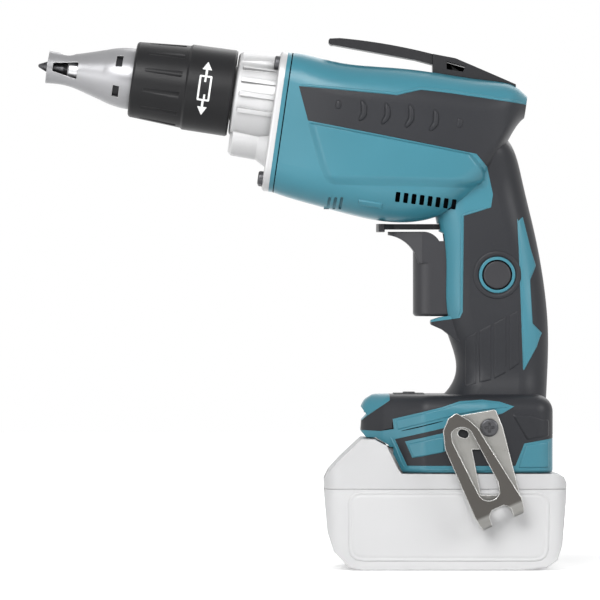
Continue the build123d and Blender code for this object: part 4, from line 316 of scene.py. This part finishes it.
# A mesh piece from point and quad arrays, with its faces turned outwards
def meshPiece(name, points, quads, finishName, sharpAngle=50):
    mesh = bpy.data.meshes.new(name)
    mesh.from_pydata(points.tolist(), [], quads.tolist())
    work = bmesh.new()
    work.from_mesh(mesh)
    bmesh.ops.recalc_face_normals(work, faces=work.faces)
    work.to_mesh(mesh)
    work.free()
    mesh.polygons.foreach_set("use_smooth", np.ones(len(mesh.polygons), dtype=bool))
    mesh.set_sharp_from_angle(angle=math.radians(sharpAngle))
    piece = bpy.data.objects.new(name, mesh)
    bpy.context.scene.collection.objects.link(piece)
    mesh.materials.append(finish[finishName])
    return piece


# One throwaway object that holds the surfaces of several construction pieces
def joinedCopy(nodeNames):
    allPoints, allFaces, start = [], [], 0
    for nodeName in nodeNames:
        mesh = nodes[nodeName].data
        points = np.empty(len(mesh.vertices) * 3, dtype=np.float32)
        mesh.vertices.foreach_get("co", points)
        mesh.calc_loop_triangles()
        faces = np.empty(len(mesh.loop_triangles) * 3, dtype=np.int32)
        mesh.loop_triangles.foreach_get("vertices", faces)
        allPoints.append(points.reshape(-1, 3))
        allFaces.append(faces.reshape(-1, 3) + start)
        start += len(mesh.vertices)
    mesh = bpy.data.meshes.new("ground")
    mesh.from_pydata(np.concatenate(allPoints).tolist(), [], np.concatenate(allFaces).tolist())
    ground = bpy.data.objects.new("ground", mesh)
    bpy.context.scene.collection.objects.link(ground)
    return ground


# Where dropped points start along y, and beyond which one has met nothing
farOut, missLimit = 0.15, 0.14


# Drops a grid of side-view points (x, z) onto a ground from one side: the points start far out along y
# and are projected along y, and the surface's own normal comes from its differences along the grid
def dropOnto(ground, flat, side):
    rows, columns = flat.shape[:2]
    start = np.stack([flat[..., 0], np.full((rows, columns), side * farOut), flat[..., 1]], axis=-1)
    index = np.arange(rows * columns).reshape(rows, columns)
    quads = gridQuads(index)
    mesh = bpy.data.meshes.new("drop")
    mesh.from_pydata(start.reshape(-1, 3).tolist(), [], quads.tolist())
    drop = bpy.data.objects.new("drop", mesh)
    bpy.context.scene.collection.objects.link(drop)
    wrap = drop.modifiers.new("wrap", "SHRINKWRAP")
    wrap.target = ground
    wrap.wrap_method = "PROJECT"
    wrap.use_project_x, wrap.use_project_y, wrap.use_project_z = False, True, False
    wrap.use_negative_direction = side > 0
    wrap.use_positive_direction = side < 0
    seen = drop.evaluated_get(bpy.context.evaluated_depsgraph_get())
    points = np.empty(rows * columns * 3, dtype=np.float32)
    seen.data.vertices.foreach_get("co", points)
    points = points.reshape(rows, columns, 3).astype(float)
    bpy.data.objects.remove(drop)
    missed = np.abs(points[..., 1]) > missLimit
    if missed.any():
        print("   points beside the surface:", int(missed.sum()), "of", missed.size)
    down = np.gradient(points, axis=0)
    across = np.gradient(points, axis=1)
    normal = np.cross(down, across)
    normal /= np.linalg.norm(normal, axis=-1, keepdims=True) + 1e-12
    normal *= np.sign(normal[..., 1:2]) * side
    return points, normal


# Points spread along a chain of corners, closer together near both ends
def spread(corners, count):
    corners = np.asarray(corners, dtype=float)
    lengths = np.concatenate([[0], np.cumsum(np.linalg.norm(np.diff(corners, axis=0), axis=1))])
    share = (1 - np.cos(np.linspace(0, math.pi, count))) / 2
    share = 0.6 * share + 0.4 * np.linspace(0, 1, count)
    return np.stack([np.interp(share * lengths[-1], lengths, corners[:, axis]) for axis in (0, 1)], axis=-1)


# Distance of every grid point from a chain of corners: the least distance from its straight runs
def chainDistance(flat, chain):
    first, run = chain[:-1], np.diff(chain, axis=0)
    offset = flat[..., None, :] - first
    along = np.clip((offset * run).sum(-1) / ((run * run).sum(-1) + 1e-15), 0, 1)
    return np.linalg.norm(offset - along[..., None] * run, axis=-1).min(-1)


def smooth(value):
    value = np.clip(value, 0, 1)
    return value * value * (3 - 2 * value)


# Depth of a rim under the surface, and how much thicker the sheet is behind it, in millimetres
panelSkin = {"low": 0.15, "behind": 0.35}
beadSkin = {"low": 0.12, "behind": 0.3, "columns": 13, "sharp": 80}


# A raised panel on a side surface: a grid between two chains of corners, whose height rises from just
# below the surface at its rim to its full height over the rim's width
def raisedPanel(name, plan, ground, side):
    first = spread(plan["first"], plan["rows"]) * mm
    second = spread(plan["second"], plan["rows"]) * mm
    share = spread([(0, 0), (1, 0)], plan["columns"])[:, 0]
    flat = between(first, second, share)
    edges = [plan["first"], plan["second"], [plan["first"][0], plan["second"][0]],
             [plan["first"][-1], plan["second"][-1]]]
    widths = plan["rim"] if isinstance(plan["rim"], tuple) else (plan["rim"],) * 4
    distances = [chainDistance(flat, np.asarray(edge) * mm) for edge in edges]
    rim = np.minimum.reduce(distances)
    under, normal = dropOnto(ground, flat, side)
    low = panelSkin["low"] * mm
    rise = np.prod([smooth(distance / (width * mm)) for distance, width in zip(distances, widths)], axis=0)
    height = -low + (plan["height"] * mm + low) * rise
    if "groove" in plan:  # a narrow channel just inside the rim
        middle, width, depth = (value * mm for value in plan["groove"])
        height -= depth * np.exp(-((rim - middle) / width) ** 2)
    front = under + normal * height[..., None]
    back = under - normal * (low + panelSkin["behind"] * mm)
    piece = closedSheet(name, front, back, plan["finish"])
    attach(piece, plan.get("body", "casing"))
    return piece


# A bead along a side-view path: its cross section is half an ellipse that shrinks towards both ends
def bead(name, plan, ground, side):
    rows, columns = plan.get("rows", 40), beadSkin["columns"]
    path = np.asarray(plan["path"], dtype=float) * mm
    share = np.linspace(0, 1, rows)
    knots = np.concatenate([[0], np.cumsum(np.linalg.norm(np.diff(path, axis=0), axis=1))])
    curve = np.stack([np.interp(share * knots[-1], knots, path[:, axis]) for axis in (0, 1)], axis=-1)
    for _ in range(3):
        curve[1:-1] = (curve[:-2] + 2 * curve[1:-1] + curve[2:]) / 4
    run = np.gradient(curve, axis=0)
    run /= np.linalg.norm(run, axis=1, keepdims=True)
    cross = np.stack([-run[:, 1], run[:, 0]], axis=-1)
    taper = np.sqrt(np.clip(1 - np.abs(2 * share - 1) ** plan.get("blunt", 3), 0.02, 1))
    lie = np.linspace(-1, 1, columns)
    flat = curve[:, None, :] + cross[:, None, :] * lie[None, :, None] * taper[:, None, None] * plan["width"] / 2 * mm
    under, normal = dropOnto(ground, flat, side)
    low = beadSkin["low"] * mm
    height = -low + (plan["height"] * mm + low) * taper[:, None] * np.sqrt(np.clip(1 - lie[None, :] ** 2, 0, 1))
    front = under + normal * height[..., None]
    back = under - normal * (low + beadSkin["behind"] * mm)
    piece = closedSheet(name, front, back, plan["finish"], beadSkin["sharp"])
    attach(piece, plan.get("body", "casing"))
    return piece


# Side names with the sign of y that looks at them
sides = {"left": -1, "right": 1}
casingGround = joinedCopy(["housing_left", "housing_right", "grip_left", "grip_right"])
housingGround = joinedCopy(["housing_left", "housing_right"])

# Ribs on the side pads: a side-view path and a height each
padRibs = {
    "paths": [
        [(-51.1, 223.4), (-50.6, 221.4), (-51.4, 219.2)],
        [(-39.9, 223.4), (-38.6, 220.2), (-38.7, 216.6), (-41.0, 213.6)],
        [(-28.3, 222.2), (-27.4, 219.0), (-27.6, 215.6), (-30.2, 212.0)],
        [(-16.9, 221.4), (-16.1, 218.0), (-16.2, 214.4), (-19.0, 210.4)],
        [(-5.1, 219.0), (-4.4, 216.0), (-4.6, 212.4), (-7.4, 208.8)],
        [(6.6, 215.0), (7.2, 212.8), (6.4, 210.4)],
    ],
    "heights": [0.5, 1.0, 1.1, 1.1, 1.1, 0.5],
    "width": 3.0,
}
for sideName, side in sides.items():
    for number, path in enumerate(padRibs["paths"]):
        bead(f"pad_rib_{sideName}_{number}", {
            "path": path, "width": padRibs["width"], "height": padRibs["heights"][number],
            "finish": "blackRubber", "slot": "black_rubber"}, casingGround, side)
print("ribs on the side pads")

# Lower grip: four slanted panels with narrow grooves between them
gripPanels = {
    "panels": [
        ([(9.6, 110.6), (9.6, 86.8)], [(15.4, 113.6), (15.4, 88.4)]),
        ([(16.2, 114.0), (16.2, 88.6)], [(22.4, 117.2), (22.4, 90.0)]),
        ([(23.2, 117.6), (23.2, 90.2)], [(29.6, 121.0), (29.6, 93.6)]),
        ([(30.4, 121.4), (30.4, 94.0)], [(35.2, 123.8), (36.0, 98.0)]),
    ],
    "height": 0.35,
}
for sideName, side in sides.items():
    for number, (first, second) in enumerate(gripPanels["panels"]):
        raisedPanel(f"grip_panel_{sideName}_{number}", {
            "first": first, "second": second, "rows": 60, "columns": 22, "height": gripPanels["height"], "rim": 0.7,
            "finish": "blackRubber", "slot": "black_rubber"}, casingGround, side)
print("grip panels")

# Raised flank of the housing: its front edge is a soft slanted step, its other edges meet the rubber
flank = {
    "first": [(-66.6, 213.4), (-64.0, 203.6), (-60.4, 191.0), (-56.4, 182.2)],
    "second": [(13.6, 197.8), (18.6, 191.8), (21.4, 184.0), (21.0, 180.4)],
    "rows": 90, "columns": 130, "height": 1.7, "rim": (5.0, 3.0, 0.8, 6.0), "finish": "tealPlastic",
    "slot": "teal_plastic",
}
for sideName, side in sides.items():
    raisedPanel(f"flank_{sideName}", flank, casingGround, side)

# Small embossed pill under the flank
pill = {
    "first": [(-41.6, 176.6), (-41.4, 173.6)],
    "second": [(-29.8, 174.8), (-29.6, 171.8)],
    "rows": 30, "columns": 60, "height": 0.8, "rim": 0.7, "finish": "tealPlastic", "slot": "teal_plastic",
}
for sideName, side in sides.items():
    raisedPanel(f"pill_{sideName}", pill, casingGround, side)

# Screens a few millimetres behind the vents, so that nothing shows through the housing: the vent screen is near-black
# painted shade, the louvre screen teal
screens = {
    "vent": {"x": (-24.6, 5.6), "z": (171.6, 180.6), "depth": 3.6, "finish": "paintedShadowBlack", "slot": "black_plastic"},
    "louvre": {"x": (-57.6, -47.0), "z": (172.2, 178.4), "depth": 2.0, "finish": "tealPlastic",
               "slot": "teal_plastic"},
}
screenFit = {"columns": 40, "rows": 16, "met": 0.1, "share": 60, "margin": 2.5, "thick": 0.6}
for sideName, side in sides.items():
    for screenName, area in screens.items():
        acrossX = np.linspace(*area["x"], screenFit["columns"]) * mm
        downZ = np.linspace(*area["z"], screenFit["rows"]) * mm
        under, normal = dropOnto(housingGround, np.stack(np.meshgrid(acrossX, downZ), axis=-1), side)
        # A quadratic in x and z fitted to the skin between the slots, moved inwards
        x, y, z = ((under[..., axis] - under[..., axis].mean() * (axis != 1)).ravel() for axis in (0, 1, 2))
        terms = np.stack([np.ones_like(x), x, z, x * x, x * z, z * z], axis=-1)
        met = np.abs(y) < screenFit["met"]
        skinLevel = np.percentile((y * side)[met], screenFit["share"]) - screenFit["margin"] * mm
        solid = met & (y * side > skinLevel)
        weights = np.linalg.lstsq(terms[solid], y[solid], rcond=None)[0]
        inner = (terms @ weights).reshape(under.shape[:2]) - side * area["depth"] * mm
        front = np.stack([under[..., 0], inner, under[..., 2]], axis=-1)
        back = front - np.array([0, side * screenFit["thick"] * mm, 0])
        screen = closedSheet(f"{screenName}_screen_{sideName}", front, back, area["finish"])
        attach(screen, "casing")
print("housing relief")

# Raised panels of the foot and the handle, each between an upper and a lower chain of corners
relief = {
    "foot_stripe": {
        "first": [(-23.9, 71.3), (-1.9, 76.9), (6.7, 79.6), (17.3, 80.5), (25.4, 79.6), (30.0, 78.2)],
        "second": [(-22.7, 66.5), (-1.9, 71.9), (8.6, 74.4), (17.3, 75.9), (25.0, 76.8), (30.5, 77.5)],
        "rows": 120, "columns": 24, "height": 0.4, "rim": 0.5, "finish": "tealPlastic", "slot": "teal_plastic",
    },
    "foot_plate": {
        "first": [(-18.4, 60.2), (-0.5, 63.9)],
        "second": [(-15.3, 53.2), (-0.5, 56.1)],
        "rows": 60, "columns": 30, "height": 0.5, "rim": 0.6, "finish": "tealPlastic", "slot": "teal_plastic",
    },
    "foot_bumper": {
        "first": [(37.8, 59.7), (49.5, 61.7)],
        "second": [(34.1, 48.4), (49.5, 48.4)],
        "rows": 40, "columns": 40, "height": 0.45, "rim": 0.9, "finish": "tealPlastic", "slot": "teal_plastic",
    },
    "foot_shoulder": {
        "first": [(30.7, 74.6), (40.3, 74.4), (49.7, 71.8)],
        "second": [(38.4, 61.3), (49.7, 63.3)],
        "rows": 50, "columns": 40, "height": 0.6, "rim": 1.5, "finish": "blackRubber", "slot": "black_rubber",
    },
    "handle_accent": {
        "first": [(34.7, 166.0), (35.5, 149.5), (36.6, 132.7), (37.2, 114.0), (37.6, 94.8)],
        "second": [(37.4, 168.5), (41.3, 152.9), (43.8, 144.9), (40.9, 140.0), (42.2, 116.9), (46.3, 112.4),
                   (44.2, 106.0), (37.9, 94.6)],
        "rows": 160, "columns": 24, "height": 0.4, "rim": 0.5, "finish": "tealPlastic", "slot": "teal_plastic",
    },
}
for sideName, side in sides.items():
    for reliefName, plan in relief.items():
        raisedPanel(f"{reliefName}_{sideName}", plan, casingGround, side)

# Beads: the bevels of the foot, and near-black lines of painted shadow under its stripe and at its snout
lines = {
    "pad_lip_top": {"path": [(-69.2, 230.9), (-46.0, 228.7), (-23.0, 226.6), (-11.6, 229.1), (2.9, 227.6),
                             (26.9, 224.2), (37.0, 222.8)],
                    "rows": 150, "blunt": 14, "width": 1.3, "height": 0.45, "finish": "tealPlastic",
                    "slot": "teal_plastic"},
    "handle_lip": {"path": [(21.3, 172.7), (8.3, 168.9), (8.0, 150.0), (7.8, 123.2), (6.4, 120.6)],
                   "rows": 110, "blunt": 14, "width": 1.2, "height": 0.4, "finish": "tealPlastic",
                   "slot": "teal_plastic"},
    "snout_line": {"path": [(-30.4, 66.4), (-24.9, 67.3), (-25.3, 71.5)],
                   "width": 0.6, "height": 0.05, "finish": "paintedShadowBlack", "slot": "black_plastic"},
    "foot_line": {"path": [(-23.3, 65.6), (-11.5, 68.4), (1.2, 71.6)],
                  "width": 0.7, "height": 0.06, "finish": "paintedShadowBlack", "slot": "black_plastic"},
    "foot_bevel": {"path": [(-26.2, 63.4), (-23.6, 58.0), (-21.0, 51.4), (-19.4, 48.6)],
                   "width": 1.2, "height": 0.4, "finish": "tealPlastic", "slot": "teal_plastic"},
    "foot_rim": {"path": [(-17.8, 48.0), (0.0, 47.9), (16.0, 47.9), (32.6, 48.2)],
                 "width": 1.1, "height": 0.4, "finish": "tealPlastic", "slot": "teal_plastic"},
}
for sideName, side in sides.items():
    for lineName, plan in lines.items():
        bead(f"{lineName}_{sideName}", plan, casingGround, side)
print("relief of the foot and the handle")

# Frame of the barrel, as in the construction: stations run forward, heights square to them
forward = np.array([-math.cos(math.radians(8.2)), 0, math.sin(math.radians(8.2))])
upward = np.array([math.sin(math.radians(8.2)), 0, math.cos(math.radians(8.2))])
seamPoint = np.array([-75.7, 0, 223.8]) * mm


# Near-black line round the front of the housing, as painted shadow of the joint's gap: the outline is a rounded
# rectangle, four straight sides with quarter circles between them, and a flat four-cornered profile is carried round
# it
def jointLine(name, plan):
    turns = np.linspace(0, math.pi / 2, 12)
    halfWide, halfHigh, corner = plan["width"] / 2, (plan["top"] - plan["bottom"]) / 2, plan["corner"]
    centres = [(halfWide - corner, halfHigh - corner), (corner - halfWide, halfHigh - corner),
               (corner - halfWide, corner - halfHigh), (halfWide - corner, corner - halfHigh)]
    outward = np.concatenate([
        np.stack([np.cos(turns + quarter * math.pi / 2), np.sin(turns + quarter * math.pi / 2)], axis=-1)
        for quarter in range(4)])
    centre = np.repeat(np.asarray(centres), len(turns), axis=0)
    rings = []
    for station, lift in ((-1, plan["proud"]), (1, plan["proud"]), (1, -plan["sunk"]),
                          (-1, -plan["sunk"])):
        flat = centre + outward * (corner + lift)
        height = flat[:, 1:] + (plan["top"] + plan["bottom"]) / 2
        rings.append(seamPoint + (plan["station"] + station * plan["broad"] / 2) * mm * forward
                     + height * mm * upward + flat[:, :1] * mm * np.array([0, 1.0, 0]))
    points = np.stack(rings)
    index = np.arange(points.shape[0] * points.shape[1]).reshape(points.shape[:2])
    beside, follow = np.roll(index, -1, axis=0), np.roll(index, -1, axis=1)
    quads = np.stack([index, follow, np.roll(beside, -1, axis=1), beside], axis=-1).reshape(-1, 4)
    piece = meshPiece(name, points.reshape(-1, 3), quads, plan["finish"])
    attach(piece, "casing")
    return piece


frontSeam = {"station": 0.0, "width": 50.0, "top": 22.9, "bottom": -44.0, "corner": 14.0, "broad": 0.55,
             "proud": 0.06, "sunk": 0.4, "finish": "paintedShadowBlack", "slot": "black_plastic"}
jointLine("front_seam", frontSeam)


# Ring lip round the lock button: a ring of points at growing distance, whose height is half an ellipse between
# the inner and the outer radius
def ringLip(name, plan, ground, side):
    around, out = 96, 13
    low, thick = 0.12, 0.5
    angles = np.linspace(0, 2 * math.pi, around)
    radii = np.linspace(plan["inner"], plan["outer"], out) * mm
    flat = np.stack([
        plan["at"][0] * mm + radii[None, :] * np.cos(angles)[:, None],
        plan["at"][1] * mm + radii[None, :] * np.sin(angles)[:, None]], axis=-1)
    if ground:
        under, normal = dropOnto(ground, flat, side)
    else:
        under = np.insert(flat, 1, plan["level"], axis=-1)
        normal = np.broadcast_to(np.array([0.0, side, 0.0]), under.shape)
    lie = np.linspace(-1, 1, out)
    height = -low * mm + (plan["height"] + low) * mm * np.sqrt(np.clip(1 - lie ** 2, 0, 1))
    front = under + normal * height[None, :, None]
    back = under - normal * thick * mm
    rows, columns = around - 1, out
    points = np.concatenate([front[:-1].reshape(-1, 3), back[:-1].reshape(-1, 3)])
    index = np.arange(rows * columns).reshape(rows, columns)
    follow = np.roll(index, -1, axis=0)
    shift = rows * columns
    top = np.stack([index[:, :-1], follow[:, :-1], follow[:, 1:], index[:, 1:]], axis=-1).reshape(-1, 4)
    inner = np.stack([index[:, 0], follow[:, 0], follow[:, 0] + shift, index[:, 0] + shift], axis=-1)
    outer = np.stack([index[:, -1], follow[:, -1], follow[:, -1] + shift, index[:, -1] + shift], axis=-1)
    piece = meshPiece(name, points, np.concatenate([top, top[:, ::-1] + shift, inner, outer]), plan["finish"],
                      beadSkin["sharp"])
    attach(piece, "casing")
    return piece


# Web of near-black painted shade across the opening of the hook's base, with a paler wedge in front of it
webs = {
    "hook_web": {"first": [(0.0, 242.6), (10.8, 239.4)], "second": [(0.0, 236.6), (10.8, 235.6)], "half": 2.0,
                 "finish": "paintedShadowBlack"},
    "hook_wedge": {"first": [(3.2, 241.0), (4.4, 240.2)], "second": [(4.6, 237.2), (9.0, 237.0)], "half": 2.4,
                   "finish": "hardBlack"},
}
for webName, plan in webs.items():
    first, second = (spread(plan[edge], 12) * mm for edge in ("first", "second"))
    share = np.linspace(0, 1, 12)
    flat = between(first, second, share)
    front, back = (np.insert(flat, 1, side * plan["half"] * mm, axis=-1) for side in (-1, 1))
    web = closedSheet(webName, front, back, plan["finish"])
    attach(web, "casing")

lockLip = {"at": (25.0, 140.4), "inner": 9.0, "outer": 11.6, "height": 0.5, "finish": "blackRubber",
           "slot": "black_rubber"}
ringLip("lock_lip", lockLip, casingGround, -1)
# A near-black ring of painted shadow in the gap round the lock button
lockGap = {"at": (25.0, 140.4), "inner": 6.68, "outer": 7.3, "height": 0.06, "finish": "paintedShadowBlack",
           "slot": "black_plastic", "level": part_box("lock_ring")[0][1]}
ringLip("lock_gap", lockGap, None, -1)

# Battery: raised side panels with a channel inside their rim
batteryGround = joinedCopy(["battery_case", "battery_cover"])
batteryPanel = {
    "first": [(-40.6, 37.9), (-43.6, 37.1), (-45.6, 35.2), (-46.6, 32.0), (-46.4, 10.0), (-45.4, 6.6), (-42.6, 4.6),
              (-39.0, 4.0)],
    "second": [(43.6, 37.9), (46.6, 37.1), (48.6, 35.2), (49.6, 32.0), (49.2, 10.0), (48.2, 6.6), (45.6, 4.6),
               (42.0, 4.0)],
    "rows": 90, "columns": 110, "height": 0.6, "rim": 0.9, "groove": (2.0, 0.45, 0.3), "body": "battery",
    "finish": "shell", "slot": "battery_shell",
}
for sideName, side in sides.items():
    raisedPanel(f"battery_panel_{sideName}", batteryPanel, batteryGround, side)
print("battery relief")


# White depth sign on the sleeve: two arrowheads round a small rounded frame. A point lies at a station
# along the barrel and at an angle round it, a hair above the rubber
def onSleeve(station, angle, radius):
    outward = np.cos(angle)[..., None] * np.array([0, -1.0, 0]) + np.sin(angle)[..., None] * upward
    return seamPoint + station[..., None] * mm * forward + radius[..., None] * mm * outward


signSkin = {"rows": 16, "columns": 12, "stations": (26.1, 48.4), "radii": (20.8, 20.6), "meanRadius": 20.7,
            "proud": 0.05, "sunk": 0.15}


def sleeveSign(name, plan):
    first = spread(plan["first"], signSkin["rows"])
    second = spread(plan["second"], signSkin["rows"])
    share = np.linspace(0, 1, signSkin["columns"])
    flat = between(first, second, share)
    radius = np.interp(flat[..., 0], signSkin["stations"], signSkin["radii"])
    angle = flat[..., 1] / signSkin["meanRadius"]
    front = onSleeve(flat[..., 0], angle, radius + signSkin["proud"])
    back = onSleeve(flat[..., 0], angle, radius - signSkin["sunk"])
    piece = closedSheet(name, front, back, "ink")
    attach(piece, "depth_sleeve")
    return piece


# Corners are (station, distance round the sleeve), in millimetres
signParts = {
    "arrow_up": {"first": [(41.6, 9.2), (39.4, 13.6)], "second": [(37.0, 9.2), (39.2, 13.6)]},
    "arrow_down": {"first": [(41.6, -9.2), (39.4, -13.6)], "second": [(37.0, -9.2), (39.2, -13.6)]},
    "stem_up": {"first": [(39.9, 5.8), (39.9, 9.4)], "second": [(38.8, 5.8), (38.8, 9.4)]},
    "stem_down": {"first": [(39.9, -5.8), (39.9, -9.4)], "second": [(38.8, -5.8), (38.8, -9.4)]},
    "frame_front": {"first": [(42.4, -5.8), (42.4, 5.8)], "second": [(41.5, -5.8), (41.5, 5.8)]},
    "frame_rear": {"first": [(37.2, -5.8), (37.2, 5.8)], "second": [(36.3, -5.8), (36.3, 5.8)]},
    "frame_top": {"first": [(42.2, 6.2), (36.5, 6.2)], "second": [(42.2, 5.3), (36.5, 5.3)]},
    "frame_bottom": {"first": [(42.2, -6.2), (36.5, -6.2)], "second": [(42.2, -5.3), (36.5, -5.3)]},
    "bar_upper": {"first": [(39.9, 5.6), (39.9, 3.0)], "second": [(39.0, 5.6), (39.0, 3.0)]},
    "bar_lower": {"first": [(39.4, -5.6), (39.4, -3.0)], "second": [(38.5, -5.6), (38.5, -3.0)]},
}
for partName, plan in signParts.items():
    sleeveSign(f"depth_sign_{partName}", plan)
print("depth sign")

for ground in (casingGround, housingGround, batteryGround):
    bpy.data.objects.remove(ground)

# Camera straight at the tool's left side, far off with a long lens
cameraPlan = {"distance": 3.0, "lens": 375.0, "middleX": -0.0691, "middleZ": 0.1284}
cameraData = bpy.data.cameras.new("camera")
cameraData.lens = cameraPlan["lens"]
cameraData.clip_start = 0.01
camera = bpy.data.objects.new("camera", cameraData)
camera.location = (cameraPlan["middleX"], -cameraPlan["distance"], cameraPlan["middleZ"])
camera.rotation_euler = (math.radians(90), 0, 0)
bpy.context.scene.collection.objects.link(camera)
bpy.context.scene.camera = camera

# Soft studio lamps: a broad key above the viewer, a fill from the nose side, a rim from behind
lamps = {
    "key": {"at": (-0.38, -1.00, 0.80), "size": 0.6, "power": 12.0},
    "fill": {"at": (-0.80, -0.80, 0.10), "size": 0.6, "power": 2.8},
    "side": {"at": (0.75, -0.65, 0.50), "size": 0.4, "power": 4.0},
    "rim": {"at": (0.25, 0.75, 0.75), "size": 0.8, "power": 4.0},
}
aim = Vector((-0.06, 0, 0.14))
for lampName, plan in lamps.items():
    lampData = bpy.data.lights.new(lampName, "AREA")
    lampData.energy = plan["power"]
    lampData.size = plan["size"]
    lamp = bpy.data.objects.new(lampName, lampData)
    lamp.location = plan["at"]
    lamp.rotation_euler = (aim - Vector(plan["at"])).to_track_quat("-Z", "Y").to_euler()
    bpy.context.scene.collection.objects.link(lamp)

# World: grey fill for the object, white for the camera and in reflections and through the lens
world = bpy.data.worlds.new("studio")
bpy.context.scene.world = world
world.use_nodes = True
worldTree = world.node_tree
background = worldTree.nodes["Background"]
background.inputs["Color"].default_value = (1, 1, 1, 1)


# 1 for the rays that show the background itself: from the camera, in reflections and through clear plastic
def shownRays(tree):
    lightPath = tree.nodes.new("ShaderNodeLightPath")
    total = lightPath.outputs["Is Camera Ray"]
    for rayName in ("Is Glossy Ray", "Is Transmission Ray"):
        most = addNode(tree, "ShaderNodeMath", operation="MAXIMUM")
        tree.links.new(total, most.inputs[0])
        tree.links.new(lightPath.outputs[rayName], most.inputs[1])
        total = most.outputs[0]
    return total


worldStrength = (0.14, 1.0)
worldTree.links.new(mapRange(worldTree, shownRays(worldTree), 0, 1, *worldStrength), background.inputs["Strength"])

# Floor: pale paper that fades to white away from the tool, and keeps the soft shadow under it
floorPlan = {"half": 3.0, "white": 0.90, "liftNear": 0.40, "liftFar": 1.0, "near": 0.16, "far": 0.55}
floorMesh = bpy.data.meshes.new("floor")
half = floorPlan["half"]
floorMesh.from_pydata([(-half, -half, 0), (half, -half, 0), (half, half, 0), (-half, half, 0)], [], [(0, 1, 2, 3)])
floor = bpy.data.objects.new("floor", floorMesh)
bpy.context.scene.collection.objects.link(floor)
floorFinish = bpy.data.materials.new("floorPaper")
floorFinish.use_nodes = True
floorTree = floorFinish.node_tree
floorShader = floorTree.nodes["Principled BSDF"]
floorShader.inputs["Roughness"].default_value = 0.9
floorCoords = objectCoords(floorTree)
paper = noiseValue(floorTree, floorCoords, 60 * mm, 2)
white = floorPlan["white"]
floorTree.links.new(
    mixColours(floorTree, paper, (white, white, white), (white + 0.02, white + 0.02, white + 0.02)),
    floorShader.inputs["Base Color"])
floorShader.inputs["Emission Color"].default_value = (1, 1, 1, 1)
away = floorTree.nodes.new("ShaderNodeVectorMath")
away.operation = "LENGTH"
floorTree.links.new(floorCoords, away.inputs[0])
lift = mapRange(floorTree, away.outputs["Value"], floorPlan["near"], floorPlan["far"], floorPlan["liftNear"],
                floorPlan["liftFar"])
shownLift = floorTree.nodes.new("ShaderNodeMath")
shownLift.operation = "MULTIPLY"
floorTree.links.new(lift, shownLift.inputs[0])
floorTree.links.new(shownRays(floorTree), shownLift.inputs[1])
floorTree.links.new(shownLift.outputs[0], floorShader.inputs["Emission Strength"])
floor.data.materials.append(floorFinish)
print("camera, lamps and floor")

bpy.context.scene.view_settings.view_transform = "Standard"
